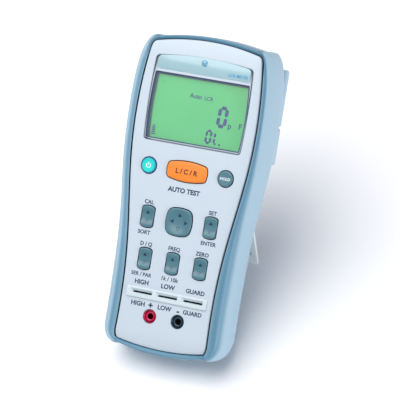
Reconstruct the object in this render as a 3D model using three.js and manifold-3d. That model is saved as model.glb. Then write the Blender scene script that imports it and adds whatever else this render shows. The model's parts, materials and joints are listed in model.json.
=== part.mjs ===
// Handheld LCR meter in a protective holster, standing on its tilt stand.
// Millimetres. Every piece is drawn in the meter's own axes: X across, Y along its length from the
// bottom edge, Z out of the face from the back plane. The whole meter is then leaned back on its stand.
import * as THREE from 'three';
import { mergeVertices } from 'three/addons/utils/BufferGeometryUtils.js';
import Module from 'manifold-3d';

const wasm = await Module();
wasm.setup();

// ---- driving dimensions ----
const LENGTH = 201.4;
const MIDDLE_Y = 100;
const INCLINE = THREE.MathUtils.degToRad(39);
const GAP = 0.3;

// depth, measured out from the back plane
const BACK_Z = 4;
const FACE_Z = 41;
const RAIL_Z = 43;
const RIM_Z = 39.4;
const SPLIT_Z = 24;
const LIP_Z = 37;

// holster shape
const HALF_WIDTH_REF = 44;
const SIDE_ROUND = 20.5;
const BOTTOM_ROUND_Y = 20;
const BOTTOM_ROUND_Z = 26;
const TOP_ROUND_Y = 14;
const TOP_ROUND_Z = 16;
const HOLSTER_WALL = 3;
const CASE_WALL = 2;
const FACE_GAP = 0.4;

// raised platform on the upper back, split into case and battery cover
const PLATFORM = { halfX: 41, y0: 128.4, y1: 151.8, z0: 0, z1: 15 };
const COVER = { y0: 152.6, y1: 188.5, wall: 1.8, z1: 6 };
const SEAT = { z0: 4.8, y1: 181.9 };
const BATTERY = { x0: -35, x1: 11, y0: 155.7, y1: 182.1, z0: 3, z1: 20.4, studR: 2.9, studYs: [163, 175.8] };
const SNAP = { x0: 14, x1: 16.6, y0: 157, y1: 181.8, z0: 5, z1: 18.4 };
const WELL = { x0: -35.6, x1: 21, y0: 155.2, y1: 182.6, z1: 23, wall: 1.2 };
const LEAD_NOTCH = { x0: 12, x1: 20, y0: 150, y1: 156.5, z0: 14, z1: 24 };
const LEAD_R = 0.7;

// tilt stand
const STAND_OPEN = THREE.MathUtils.degToRad(38.8);
const HINGE_Y = 114;
const HINGE_Z = 4.6;
const BARREL = { r: 2, halfX: 22.6 };
const PIN = { r: 1, halfX: 26 };
const LEAF = { halfX: 26.3, neckHalfX: 22, neck: 5, shoulder: 9, length: 70, thickness: 1.8 };
const BRACKET = { halfX: 26.2, y0: 110.8, y1: 119.2, z0: 7, z1: 8.2 };
const KNUCKLE = { x: 24.6, r: 3, width: 3.2 };
const STAND_WINDOW = { halfX: 26.6, y0: 45.5, y1: 119.6, z1: 12 };

// display
const LIP = { halfX: 34, y0: 132, y1: 188.1, depth: 0.6 };
const APERTURE = { halfX: 32.6, y0: 133.7, y1: 175.5 };
const WINDOW = { z0: 39.2, z1: 40.3 };
const BADGE = { halfX: 31.5, y0: 177.4, y1: 190, proud: 0.3 };
const GREEN = { halfX: 31, y0: 134.3, y1: 173.9 };
const BEZEL = { halfX: 34.5, y0: 130.2, y1: 177.6, z0: 38.1, z1: 38.7 };
const GLASS = { halfX: 33.5, y0: 131, y1: 176.8, z0: 35.8, z1: 37.8 };
const BACKLIGHT = { halfX: 32, y0: 135.2, y1: 172.8, z0: 33.7, z1: 35.5 };
const ZEBRA = { halfX: 29, halfY: 1.2, lowerY: 132.8, upperY: 175.2 };
const LENS = { x: 0, y: 184.6, r: 2 };
const LED_R = 1.5;

// keys
const KEY_TOP_Z = 42;
const KEY_CLEAR = 0.4;
const KEY_BASE_Z = 34.2;
const KEY_FLANGE_Z = 37.6;
const KEY_FLANGE = 0.9;
const MAT = { halfX: 33, y0: 49, y1: 124.5, z0: 31.2, z1: 32.4 };
const ROUND_KEY_R = 4.95;
const TOP_ROW_Y = 116.6;
const ROUND_KEY_X = 26.2;
const BARREL_KEY = { halfX: 12.8, bulgeX: 13.6, shoulderX: 7, halfY: 6.35, shoulderY: 5.9, endY: 4.6 };
const BARREL_KEY_TOP_Z = 42.3;
const ROCKER = { halfX: 4.15, halfY: 5.75, arch: 1 };
const UPPER_ROW_Y = 85.1;
const LOWER_ROW_Y = 58.9;
const UPPER_ROCKER_X = 21.5;
const LOWER_ROCKER_X = 19;
const NAV = { half: 8.75, roundness: 3.4, sides: 20, flange: 0.6, baseZ: 36.2 };
const PIVOT_R = 4;

// terminals
const SLOT_Y = 37.6;
const SLOT_PITCH = 17.3;
const SLOT = { length: 13, width: 1.2 };
const SLOT_XS = [-SLOT_PITCH, 0, SLOT_PITCH];
const SLOT_PLATE = { halfX: 27.4, halfY: 3.3, z1: 42 };
const SLOT_STEM = { halfX: 25.7, halfY: 2.3, z0: 38.2 };
const SLOT_HOLE = { halfX: 26, halfY: 2.6 };
const SLOT_POCKET = { endGap: 0.7, halfY: 1.7, depth: 1 };
const SOCKET = { halfX: 25.6, halfY: 3.4, z1: 37.8, wellHalfX: 7, wellHalfY: 1.9 };
const CONTACT = { halfX: 5.8, y: 1, halfY: 0.2, z0: 30.4, z1: 37.4 };
const JACK_PITCH = 19.05;
const JACK_Y = 24;
const JACK_R = 4.6;

// circuit board
const BOARD = { z0: 26.4, z1: 28 };
const PART_Z = BOARD.z0 - GAP;
const FUSE = { r: 2.4, length: 20, y: 48 };
const BUZZER = { x: 20, y: 130, r: 6.5, height: 6 };

// case screws, as places on the back
const SCREWS = [[-24, 17], [24, 17], [-33, 140], [33, 140]];
const SCREW_R = 1.5;
const HEAD_R = 2.9;
const HEAD_HEIGHT = 1.8;
const BOSS_R = 3.5;
const COVER_SCREW = [28, 169];
const COVER_SCREW_SIZE = { headZ: 0.4, length: 15 };
const upperScrew = (x) => Math.abs(x) > 30;
const headZ = (x) => (upperScrew(x) ? 1 : 11.4);
const SCREW_TIP_Z = 31;

// heights between which a cutter passes right through the face
const THROUGH = [30, 50];

// ---- materials ----
const finish = (color, roughness, metalness = 0) =>
  new THREE.MeshStandardMaterial({ color, roughness, metalness });
const MATERIALS = {
  holster: finish(0xa9c8dc, 0.5),
  rearShell: finish(0x9fc0d6, 0.45),
  frontShell: finish(0xd6dee8, 0.4),
  badge: finish(0xc8e4eb, 0.35),
  lens: finish(0x5aaacd, 0.15),
  window: finish(0xdfeaec, 0.05),
  frame: finish(0x284b6e, 0.5),
  liquidCrystal: finish(0x6ed082, 0.25),
  diffuser: finish(0xe9eee9, 0.5),
  rubber: finish(0x3c4248, 0.8),
  board: finish(0x1f5c3a, 0.5),
  chip: finish(0x1b1c1f, 0.5),
  steel: finish(0xb9bcc0, 0.3, 1),
  brass: finish(0xc9a04e, 0.3, 1),
  whitePlastic: finish(0xeef1f1, 0.4),
  red: finish(0xc8143c, 0.4),
  black: finish(0x233c4b, 0.45),
  cyan: finish(0x19e6dc, 0.45),
  orange: finish(0xff9137, 0.45),
  key: finish(0x5a8c96, 0.45),
  standPlastic: finish(0xe6efec, 0.4),
  batteryJacket: finish(0x30343c, 0.35),
};

// ---- solids ----
const meter = new THREE.Group();

function solid(geometry) {
  const source = geometry.clone();
  source.deleteAttribute('normal');
  source.deleteAttribute('uv');
  const merged = mergeVertices(source, 1e-4);
  return new wasm.Manifold(new wasm.Mesh({
    numProp: 3,
    vertProperties: new Float32Array(merged.attributes.position.array),
    triVerts: new Uint32Array(merged.index.array),
  }));
}

function geometryOf(manifold) {
  const mesh = manifold.getMesh();
  const geometry = new THREE.BufferGeometry();
  geometry.setAttribute('position', new THREE.BufferAttribute(mesh.vertProperties, 3));
  geometry.setIndex(new THREE.BufferAttribute(mesh.triVerts, 1));
  return geometry;
}

function addPiece(name, shape, material, parent = meter) {
  const geometry = shape.isBufferGeometry ? shape : geometryOf(shape);
  const mesh = new THREE.Mesh(geometry, material);
  mesh.name = name;
  parent.add(mesh);
  return mesh;
}

function block(x0, x1, y0, y1, z0, z1) {
  const geometry = new THREE.BoxGeometry(x1 - x0, y1 - y0, z1 - z0);
  return geometry.translate((x0 + x1) / 2, (y0 + y1) / 2, (z0 + z1) / 2);
}

function post(x, y, r, z0, z1, sides = 16) {
  const geometry = new THREE.CylinderGeometry(r, r, z1 - z0, sides);
  return geometry.rotateX(Math.PI / 2).translate(x, y, (z0 + z1) / 2);
}

function crossRod(y, z, r, halfX, sides = 12) {
  return new THREE.CylinderGeometry(r, r, 2 * halfX, sides).rotateZ(Math.PI / 2).translate(0, y, z);
}

function turned(profile, x, y, sides = 18) {
  const points = profile.map(([r, z]) => new THREE.Vector2(r, z));
  return new THREE.LatheGeometry(points, sides).rotateX(Math.PI / 2).translate(x, y, 0);
}

function prism(points, z0, z1) {
  const shape = new THREE.Shape(points);
  return new THREE.ExtrudeGeometry(shape, { depth: z1 - z0, bevelEnabled: false }).translate(0, 0, z0);
}

// Joins sections, each a ring of the same number of points at one depth, into a closed body.
function stack(sections) {
  const count = sections[0].points.length;
  const positions = sections.flatMap(({ points, z }) => points.flatMap((p) => [p.x, p.y, z]));
  const index = [];
  for (let level = 0; level + 1 < sections.length; level += 1) {
    for (let i = 0; i < count; i += 1) {
      const a = level * count + i;
      const b = level * count + ((i + 1) % count);
      index.push(a, b, b + count, a, b + count, a + count);
    }
  }
  const first = THREE.ShapeUtils.triangulateShape(sections[0].points, []);
  const last = THREE.ShapeUtils.triangulateShape(sections.at(-1).points, []);
  const top = (sections.length - 1) * count;
  first.forEach(([a, b, c]) => index.push(a, c, b));
  last.forEach(([a, b, c]) => index.push(top + a, top + b, top + c));
  const geometry = new THREE.BufferGeometry();
  geometry.setAttribute('position', new THREE.Float32BufferAttribute(positions, 3));
  geometry.setIndex(index);
  return geometry;
}

// ---- outlines ----
function bezier(steps, ...corners) {
  const points = corners.map(([x, y]) => new THREE.Vector2(x, y));
  return new THREE.CubicBezierCurve(...points).getPoints(steps);
}

function mirrored(half) {
  const other = half.slice(1, -1).reverse().map((p) => new THREE.Vector2(-p.x, p.y));
  return [...half, ...other];
}

const bowed = (xs, y0, bow) => xs.map((x) => new THREE.Vector2(x, y0 + bow * x * x));

// Right half of the holster's outline, from the bottom rim round the two rounded ears to the top rim.
const HOLSTER_HALF = [
  ...bowed([0, 9, 18, 26], 0, 0.0042),
  ...bezier(5, [29.5, 3.4], [36.5, 3.4], [40.6, 9.5], [41, 16.5]),
  ...bezier(6, [41, 16.5], [40.4, 116.4], [47.4, 96.2], [47.4, 155]).slice(1),
  ...bezier(6, [47.4, 155], [47.4, 170.8], [45.7, 195.4], [35, 199.2]).slice(1),
  ...bowed([31.5, 21, 10.5, 0], LENGTH, -0.0033),
];

// Right half of the face's outline.
const FACE_HALF = [
  ...bowed([0, 10, 20, 28.4], 4, 0.0035),
  new THREE.Vector2(30.7, 8.4),
  ...bezier(6, [31.5, 12], [28.5, 76.7], [41.1, 99.9], [41.1, 148]),
  ...bezier(3, [41.1, 148], [41.1, 166.6], [39.2, 180], [38, 189]).slice(1),
  new THREE.Vector2(36.8, 192.8),
  ...bowed([33, 22, 11, 0], 198.4, -0.0034),
];

function faceRing(clearance) {
  const scaleX = 1 + clearance / 36;
  const scaleY = 1 + Math.min(clearance, GAP) / MIDDLE_Y;
  return mirrored(FACE_HALF).map((p) =>
    new THREE.Vector2(p.x * scaleX, MIDDLE_Y + (p.y - MIDDLE_Y) * scaleY));
}

// ---- the body's rounded form, at any inset from the holster's outside ----
const rounding = (reach, depth, drop) =>
  drop <= 0 ? 0 : reach * (1 - Math.sqrt(Math.max(0, 1 - (drop / depth) ** 2)));

function ring(z, side, bottom, top) {
  const scaleX = 1 - side / HALF_WIDTH_REF;
  const scaleLow = 1 - bottom / MIDDLE_Y;
  const scaleHigh = 1 - top / (LENGTH - MIDDLE_Y);
  const points = mirrored(HOLSTER_HALF).map((p) => {
    const rise = p.y - MIDDLE_Y;
    return new THREE.Vector2(p.x * scaleX, MIDDLE_Y + rise * (rise < 0 ? scaleLow : scaleHigh));
  });
  return { z, points };
}

function roundedRing(z, inset) {
  const sideR = SIDE_ROUND - inset;
  const side = rounding(sideR, sideR, BACK_Z + SIDE_ROUND - z);
  const bottom = rounding(BOTTOM_ROUND_Y - inset, BOTTOM_ROUND_Z - inset, BACK_Z + BOTTOM_ROUND_Z - z);
  const top = rounding(TOP_ROUND_Y - inset, TOP_ROUND_Z - inset, BACK_Z + TOP_ROUND_Z - z);
  return ring(z, side + inset, bottom + inset, top + inset);
}

function backLevels(inset, count = 6) {
  const depth = BOTTOM_ROUND_Z - inset;
  const centre = BACK_Z + BOTTOM_ROUND_Z;
  return Array.from({ length: count + 1 }, (_, i) => centre - depth * Math.cos((i / count) * Math.PI / 2));
}

function tub(inset, zEnd, count) {
  const levels = backLevels(inset, count).filter((z) => z < zEnd - 1);
  return stack([...levels, zEnd].map((z) => roundedRing(z, inset)));
}

// ---- holster ----
function railHalfWidths(rise) {
  const stations = [[-8, 29, 8], [6, 29.8, 8.5], [14, 31.8, 9.2], [40, 31.6, 9.4], [70, 33.3, 8.2],
    [95, 36.5, 6.8], [120, 39.9, 5.9], [150, 41.5, 5.8], [175, 40.2, 5.6], [188, 38.4, 5.2],
    [196, 34.5, 7], [208, 33, 7]];
  const half = stations.map(([y, inner, rail]) => new THREE.Vector2(inner + rise * rail, y));
  const other = half.map((p) => new THREE.Vector2(-p.x, p.y)).reverse();
  return [...half, ...other];
}

function makeHolster() {
  const front = [[36, 0, 0], [40.6, 0.6, 0.8], [42.3, 1.9, 2.6], [RAIL_Z, 4, 6]];
  const outside = stack([
    ...backLevels(0).map((z) => roundedRing(z, 0)),
    ...front.map(([z, side, end]) => ring(z, side, end, end)),
  ]);
  const railSlope = stack([[RIM_Z, 0], [RIM_Z + 1.6, 0.06], [RAIL_Z + 1, 0.5]]
    .map(([z, rise]) => ({ z, points: railHalfWidths(rise) })));
  const platformWindow = block(-PLATFORM.halfX - GAP, PLATFORM.halfX + GAP,
    PLATFORM.y0 - GAP, COVER.y1 + GAP, -1, PLATFORM.z1 + 2);
  const standWindow = block(-STAND_WINDOW.halfX, STAND_WINDOW.halfX,
    STAND_WINDOW.y0, STAND_WINDOW.y1, -1, STAND_WINDOW.z1);
  return solid(outside)
    .subtract(solid(tub(HOLSTER_WALL, LIP_Z, 5)))
    .subtract(solid(prism(faceRing(FACE_GAP), ...THROUGH)))
    .subtract(solid(railSlope))
    .subtract(solid(platformWindow))
    .subtract(solid(standWindow));
}
addPiece('holster', makeHolster(), MATERIALS.holster);

// ---- rear case, with the battery well open under its cover ----
function makeRearCase() {
  const inset = HOLSTER_WALL + GAP;
  const { halfX, y0, y1, z0, z1 } = PLATFORM;
  const seatX = halfX - COVER.wall - GAP;
  const rearTop = SPLIT_Z - GAP / 2;
  const innerX = halfX - CASE_WALL;
  const outside = solid(tub(inset, rearTop, 5))
    .add(solid(block(-halfX, halfX, y0, y1, z0, z1)))
    .add(solid(block(-seatX, seatX, y1 - 1, COVER.y1 - COVER.wall - GAP, SEAT.z0, z1)));
  const plate = { x: BRACKET.halfX + 2, y0: BRACKET.y0 - 2, y1: BRACKET.y1 + 2, z0: 9, z1: 10.6 };
  const recess = { x: BRACKET.halfX + GAP, y0: BRACKET.y0 - GAP, y1: BRACKET.y1 + GAP, z1: BRACKET.z1 + GAP };
  const { wall } = WELL;
  let body = outside
    .subtract(solid(tub(inset + CASE_WALL, SPLIT_Z + 2, 5)))
    .subtract(solid(block(-innerX, innerX, y0 + CASE_WALL, y1 - CASE_WALL, CASE_WALL, z1)))
    .subtract(solid(block(-seatX + CASE_WALL, seatX - CASE_WALL, y1 + 0.8, SEAT.y1, COVER.z1, z1)))
    .subtract(solid(block(-halfX - 5, halfX + 5, y1, COVER.y1 + 3, -1, SEAT.z0)))
    .add(solid(block(-plate.x, plate.x, plate.y0, plate.y1, plate.z0, plate.z1)))
    .subtract(solid(block(-recess.x, recess.x, recess.y0, recess.y1, 0, recess.z1)))
    .add(solid(block(WELL.x0 - wall, WELL.x1 + wall, WELL.y0 - wall, WELL.y1 + wall, SEAT.z0, WELL.z1)))
    .subtract(solid(block(WELL.x0, WELL.x1, WELL.y0, WELL.y1, -1, WELL.z1 - wall)))
    .subtract(solid(block(LEAD_NOTCH.x0, LEAD_NOTCH.x1, LEAD_NOTCH.y0, LEAD_NOTCH.y1,
      LEAD_NOTCH.z0, LEAD_NOTCH.z1)));
  for (const [x, y] of SCREWS) {
    body = body.add(solid(post(x, y, BOSS_R + 1, 0.5, rearTop)).intersect(outside));
    body = body.subtract(solid(post(x, y, SCREW_R + GAP, -1, 30)));
    body = body.subtract(solid(post(x, y, HEAD_R + GAP, -1, headZ(x) + 2.2)));
  }
  const [cx, cy] = COVER_SCREW;
  body = body.add(solid(post(cx, cy, BOSS_R, SEAT.z0, 20)));
  return body.subtract(solid(post(cx, cy, SCREW_R + GAP, -1, 18)));
}

addPiece('rear_case', makeRearCase(), MATERIALS.rearShell);

function makeBatteryCover() {
  const { halfX } = PLATFORM;
  const { y0, y1, wall, z1 } = COVER;
  const [cx, cy] = COVER_SCREW;
  return solid(block(-halfX, halfX, y0, y1, 0, z1))
    .subtract(solid(block(-halfX + wall, halfX - wall, y0 - 1, y1 - wall, wall, z1 + 1)))
    .add(solid(post(cx, cy, HEAD_R + 1.6, wall - 0.5, 4.2)))
    .subtract(solid(post(cx, cy, HEAD_R + GAP, -1, 2.4)))
    .subtract(solid(post(cx, cy, SCREW_R + GAP, -1, 5)));
}
addPiece('battery_cover', makeBatteryCover(), MATERIALS.rearShell);

// ---- screws ----
function screw(x, y, z, length) {
  const profile = [[0, z], [HEAD_R, z], [HEAD_R, z + HEAD_HEIGHT], [SCREW_R, z + HEAD_HEIGHT],
    [SCREW_R, z + length], [0, z + length]];
  return turned(profile, x, y, 12);
}
SCREWS.forEach(([x, y], i) => {
  addPiece(`case_screw_${i + 1}`, screw(x, y, headZ(x) + GAP, SCREW_TIP_Z - headZ(x)), MATERIALS.steel);
});
addPiece('battery_cover_screw', screw(...COVER_SCREW, COVER_SCREW_SIZE.headZ, COVER_SCREW_SIZE.length),
  MATERIALS.steel);

// ---- front case ----
function archedKey(halfX, halfY, arch, grow = 0) {
  const across = [-1, -0.5, 0, 0.5, 1].map((t) => [t * (halfX + grow), halfY + grow + arch * (1 - t * t)]);
  const top = across.map(([x, y]) => new THREE.Vector2(-x, y));
  const bottom = across.map(([x, y]) => new THREE.Vector2(x, -y));
  return [...bottom, ...top];
}

function placed(points, x, y) {
  return points.map((p) => new THREE.Vector2(p.x + x, p.y + y));
}

function barrelKey(grow = 0) {
  const { halfX, bulgeX, shoulderX, halfY, shoulderY, endY } = BARREL_KEY;
  const half = [[-halfX - grow, -endY - grow], [-shoulderX, -shoulderY - grow], [0, -halfY - grow],
    [shoulderX, -shoulderY - grow], [halfX + grow, -endY - grow], [bulgeX + grow, 0]];
  const lower = half.map(([x, y]) => new THREE.Vector2(x, y));
  const upper = half.map(([x, y]) => new THREE.Vector2(-x, -y));
  return [...lower, ...upper];
}

function softSquare(grow = 0) {
  const { half, roundness, sides } = NAV;
  return Array.from({ length: sides }, (_, i) => {
    const angle = (i / sides) * 2 * Math.PI;
    const [c, s] = [Math.cos(angle), Math.sin(angle)];
    const radius = (half + grow) / (Math.abs(c) ** roundness + Math.abs(s) ** roundness) ** (1 / roundness);
    return new THREE.Vector2(c * radius, s * radius);
  });
}

const rockerOutline = (grow) => archedKey(ROCKER.halfX, ROCKER.halfY, ROCKER.arch, grow);

const ROCKERS = [
  ['cal_rocker', -UPPER_ROCKER_X, UPPER_ROW_Y], ['setup_rocker', UPPER_ROCKER_X, UPPER_ROW_Y],
  ['mode_rocker', -LOWER_ROCKER_X, LOWER_ROW_Y], ['freq_rocker', 0, LOWER_ROW_Y],
  ['zero_rocker', LOWER_ROCKER_X, LOWER_ROW_Y],
];

function lipOutline(grow) {
  const side = LIP.halfX + grow;
  const top = LIP.y1 + grow;
  return [[-side, LIP.y0 - grow], [side, LIP.y0 - grow], [side, top - 2.6], [side / 2, top - 0.6],
    [0, top], [-side / 2, top - 0.6], [-side, top - 2.6]].map(([x, y]) => new THREE.Vector2(x, y));
}

function makeFrontCase() {
  const inset = HOLSTER_WALL + GAP;
  const shoulderZ = LIP_Z - GAP;
  const bottomZ = SPLIT_Z + GAP / 2;
  const skirtLevels = [bottomZ, 30, shoulderZ];
  const skirt = stack(skirtLevels.map((z) => roundedRing(z, inset)));
  const hollowLevels = [bottomZ - 1, 30, shoulderZ - CASE_WALL];
  const hollow = stack(hollowLevels.map((z) => roundedRing(z, inset + CASE_WALL)));
  const raised = stack([[shoulderZ - 1, 0], [FACE_Z - 0.8, 0], [FACE_Z, 0.8]]
    .map(([z, trim]) => ({ z, points: faceRing(-FACE_GAP - trim) })));
  const underFace = prism(faceRing(-FACE_GAP - CASE_WALL - 1), shoulderZ - CASE_WALL - 1, FACE_Z - CASE_WALL);
  let body = solid(skirt).add(solid(raised)).subtract(solid(hollow)).subtract(solid(underFace));
  const cuts = [
    prism(lipOutline(0), FACE_Z - LIP.depth, 50),
    block(-APERTURE.halfX, APERTURE.halfX, APERTURE.y0, APERTURE.y1, ...THROUGH),
    post(LENS.x, LENS.y, LENS.r + GAP, ...THROUGH),
    block(-SLOT_HOLE.halfX, SLOT_HOLE.halfX, SLOT_Y - SLOT_HOLE.halfY, SLOT_Y + SLOT_HOLE.halfY, ...THROUGH),
    ...[-1, 1].map((side) => post(side * JACK_PITCH / 2, JACK_Y, JACK_R + GAP, ...THROUGH, 20)),
    ...[-1, 1].map((side) => post(side * ROUND_KEY_X, TOP_ROW_Y, ROUND_KEY_R + KEY_CLEAR, ...THROUGH, 20)),
    prism(placed(barrelKey(KEY_CLEAR), 0, TOP_ROW_Y), ...THROUGH),
    prism(placed(softSquare(KEY_CLEAR), 0, UPPER_ROW_Y), ...THROUGH),
    ...ROCKERS.map(([, x, y]) => prism(placed(rockerOutline(KEY_CLEAR), x, y), ...THROUGH)),
  ];
  for (const cut of cuts) {
    body = body.subtract(solid(cut));
  }
  for (const [x, y] of SCREWS) {
    const topZ = upperScrew(x) ? 33 : FACE_Z - CASE_WALL + 0.5;
    const boss = post(x, y, BOSS_R, bottomZ, topZ);
    const rib = block(Math.min(x, x * 1.4), Math.max(x, x * 1.4), y - 0.8, y + 0.8, bottomZ + 5, topZ);
    body = body.add(solid(boss)).add(solid(rib).intersect(solid(skirt)));
    body = body.subtract(solid(post(x, y, SCREW_R + GAP, bottomZ - 1, 32.2)));
  }
  return body;
}
addPiece('front_case', makeFrontCase(), MATERIALS.frontShell);

// ---- display ----
addPiece('display_window', block(-APERTURE.halfX + GAP, APERTURE.halfX - GAP,
  APERTURE.y0 + GAP, APERTURE.y1 - GAP, WINDOW.z0, WINDOW.z1), MATERIALS.window);

function makeBadge() {
  const { halfX, y0, y1, proud } = BADGE;
  return solid(block(-halfX, halfX, y0, y1, FACE_Z - LIP.depth + GAP, FACE_Z + proud))
    .intersect(solid(prism(lipOutline(-0.4), ...THROUGH)))
    .subtract(solid(post(LENS.x, LENS.y, LENS.r + GAP, ...THROUGH)));
}
addPiece('badge_plate', makeBadge(), MATERIALS.badge);

const DOME_PROFILE = [[0, 36.5], [LENS.r, 36.5], [LENS.r, 41.2], [1.2, 41.7], [0, 41.9]];
const LED_PROFILE = [[0, BOARD.z1 + GAP], [LED_R, BOARD.z1 + GAP], [LED_R, 34.6], [0.9, 35.8], [0, 36.2]];
addPiece('indicator_lens', turned(DOME_PROFILE, LENS.x, LENS.y, 16), MATERIALS.lens);
addPiece('indicator_led', turned(LED_PROFILE, LENS.x, LENS.y, 12), MATERIALS.whitePlastic);

function layer({ halfX, y0, y1, z0, z1 }) {
  return block(-halfX, halfX, y0, y1, z0, z1);
}
const bezelOpening = { ...GREEN, z0: THROUGH[0], z1: THROUGH[1] };
addPiece('lcd_bezel', solid(layer(BEZEL)).subtract(solid(layer(bezelOpening))), MATERIALS.frame);
addPiece('lcd_glass', layer(GLASS), MATERIALS.liquidCrystal);
addPiece('backlight_panel', layer(BACKLIGHT), MATERIALS.diffuser);
for (const [name, y] of [['zebra_strip_lower', ZEBRA.lowerY], ['zebra_strip_upper', ZEBRA.upperY]]) {
  addPiece(name, block(-ZEBRA.halfX, ZEBRA.halfX, y - ZEBRA.halfY, y + ZEBRA.halfY,
    BOARD.z1 + GAP, GLASS.z0 - GAP), MATERIALS.rubber);
}

// ---- circuit board and what is on it ----
function makeBoard() {
  const outline = [[-29, 11], [29, 11], [29.5, 60], [35.5, 110], [36.5, 150], [34.5, 182], [24, 188],
    [-24, 188], [-34.5, 182], [-36.5, 150], [-35.5, 110], [-29.5, 60]];
  let board = solid(prism(outline.map(([x, y]) => new THREE.Vector2(x, y)), BOARD.z0, BOARD.z1));
  for (const side of [-1, 1]) {
    board = board.subtract(solid(post(side * JACK_PITCH / 2, JACK_Y, JACK_R + GAP, 0, 50, 12)));
  }
  for (const [x, y] of SCREWS) {
    board = board.subtract(solid(post(x, y, BOSS_R + 0.6, 0, 50, 12)));
  }
  return board;
}
addPiece('main_board', makeBoard(), MATERIALS.board);

function onBoard(name, x, y, width, length, height, material) {
  addPiece(name, block(x - width / 2, x + width / 2, y - length / 2, y + length / 2,
    PART_Z - height, PART_Z), material);
}
onBoard('processor_chip', 0, 104, 16, 16, 1.8, MATERIALS.chip);
onBoard('analog_chip', -14, 76, 10, 12, 2, MATERIALS.chip);
onBoard('crystal', 18, 104, 4.5, 11, 3.5, MATERIALS.steel);
onBoard('relay_high', -14, 48, 9, 16, 9, MATERIALS.whitePlastic);
onBoard('relay_low', 14, 48, 9, 16, 9, MATERIALS.whitePlastic);
addPiece('input_fuse', new THREE.CylinderGeometry(FUSE.r, FUSE.r, FUSE.length, 12)
  .translate(0, FUSE.y, PART_Z - FUSE.r), MATERIALS.whitePlastic);
addPiece('buzzer', post(BUZZER.x, BUZZER.y, BUZZER.r, PART_Z - BUZZER.height, PART_Z, 18), MATERIALS.chip);

// ---- battery ----
function makeBattery() {
  const { x0, x1, y0, y1, z0, z1, studR, studYs } = BATTERY;
  let body = solid(block(x0, x1, y0, y1, z0, z1));
  for (const y of studYs) {
    const stud = new THREE.CylinderGeometry(studR, studR, 3, 12).rotateZ(Math.PI / 2);
    body = body.add(solid(stud.translate(x1 + 1, y, (z0 + z1) / 2)));
  }
  return body;
}
addPiece('battery_9v', makeBattery(), MATERIALS.batteryJacket);
addPiece('battery_snap', block(SNAP.x0, SNAP.x1, SNAP.y0, SNAP.y1, SNAP.z0, SNAP.z1), MATERIALS.black);

function lead(route) {
  const curve = new THREE.CatmullRomCurve3(route.map((p) => new THREE.Vector3(...p)));
  const section = new THREE.Shape(Array.from({ length: 6 }, (_, i) =>
    new THREE.Vector2(LEAD_R * Math.cos(i * Math.PI / 3), LEAD_R * Math.sin(i * Math.PI / 3))));
  return new THREE.ExtrudeGeometry(section, { steps: 14, extrudePath: curve });
}
addPiece('battery_lead_red', lead([[17.3, 161, 16], [18.6, 158.6, 17.4], [18.6, 153, 19],
  [18.2, 147, 20.5], [17.8, 143.5, 23], [17.8, 143, 25.8]]), MATERIALS.red);
addPiece('battery_lead_black', lead([[17.3, 164, 10], [18.6, 161, 10.6], [18.6, 157.6, 12.6],
  [16.6, 154.6, 16.2], [14.6, 150, 18.6], [14, 143.5, 23], [14, 143, 25.8]]), MATERIALS.chip);

// ---- keypad ----
addPiece('keypad_mat', layer(MAT), MATERIALS.rubber);

function roundKey(x) {
  const profile = [[0, KEY_BASE_Z], [ROUND_KEY_R + 1, KEY_BASE_Z], [ROUND_KEY_R + 1, KEY_FLANGE_Z],
    [ROUND_KEY_R, KEY_FLANGE_Z], [ROUND_KEY_R, KEY_TOP_Z - 0.8], [ROUND_KEY_R - 0.7, KEY_TOP_Z - 0.1],
    [0, KEY_TOP_Z]];
  return turned(profile, x, TOP_ROW_Y, 20);
}

function shapedKey(outline, x, y, baseZ, topZ) {
  const flange = prism(placed(outline(KEY_FLANGE), x, y), baseZ, KEY_FLANGE_Z);
  const scaled = (scale) => outline(0).map((p) => new THREE.Vector2(x + p.x * scale, y + p.y * scale));
  const levels = [[KEY_FLANGE_Z - 0.5, 1], [topZ - 0.7, 1], [topZ, 0.93]];
  return solid(flange).add(solid(stack(levels.map(([z, scale]) => ({ z, points: scaled(scale) })))));
}

addPiece('power_button', roundKey(-ROUND_KEY_X), MATERIALS.cyan);
addPiece('hold_button', roundKey(ROUND_KEY_X), MATERIALS.key);
addPiece('measure_button', shapedKey(barrelKey, 0, TOP_ROW_Y, KEY_BASE_Z, BARREL_KEY_TOP_Z),
  MATERIALS.orange);
for (const [name, x, y] of ROCKERS) {
  addPiece(name, shapedKey(rockerOutline, x, y, KEY_BASE_Z, KEY_TOP_Z), MATERIALS.key);
}
const navOutline = (grow) => softSquare(Math.min(grow, NAV.flange));
addPiece('nav_pad', shapedKey(navOutline, 0, UPPER_ROW_Y, NAV.baseZ, KEY_TOP_Z), MATERIALS.key);
addPiece('nav_pivot', post(0, UPPER_ROW_Y, PIVOT_R, MAT.z1 + GAP, NAV.baseZ - 0.5), MATERIALS.key);

// ---- component slots ----
function makeSlotPlate() {
  const { halfX, halfY, z1 } = SLOT_PLATE;
  const around = (x, halfLength, halfWidth, z0, top) =>
    block(x - halfLength, x + halfLength, SLOT_Y - halfWidth, SLOT_Y + halfWidth, z0, top);
  let plate = solid(around(0, halfX, halfY, FACE_Z + GAP, z1))
    .add(solid(around(0, SLOT_STEM.halfX, SLOT_STEM.halfY, SLOT_STEM.z0, FACE_Z + GAP + 0.2)));
  for (const x of SLOT_XS) {
    plate = plate
      .subtract(solid(around(x, SLOT.length / 2, SLOT.width / 2, ...THROUGH)))
      .subtract(solid(around(x, SLOT.length / 2 + SLOT_POCKET.endGap, SLOT_POCKET.halfY,
        z1 - SLOT_POCKET.depth, THROUGH[1])));
  }
  return plate;
}
addPiece('terminal_bezel', makeSlotPlate(), MATERIALS.whitePlastic);

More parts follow.
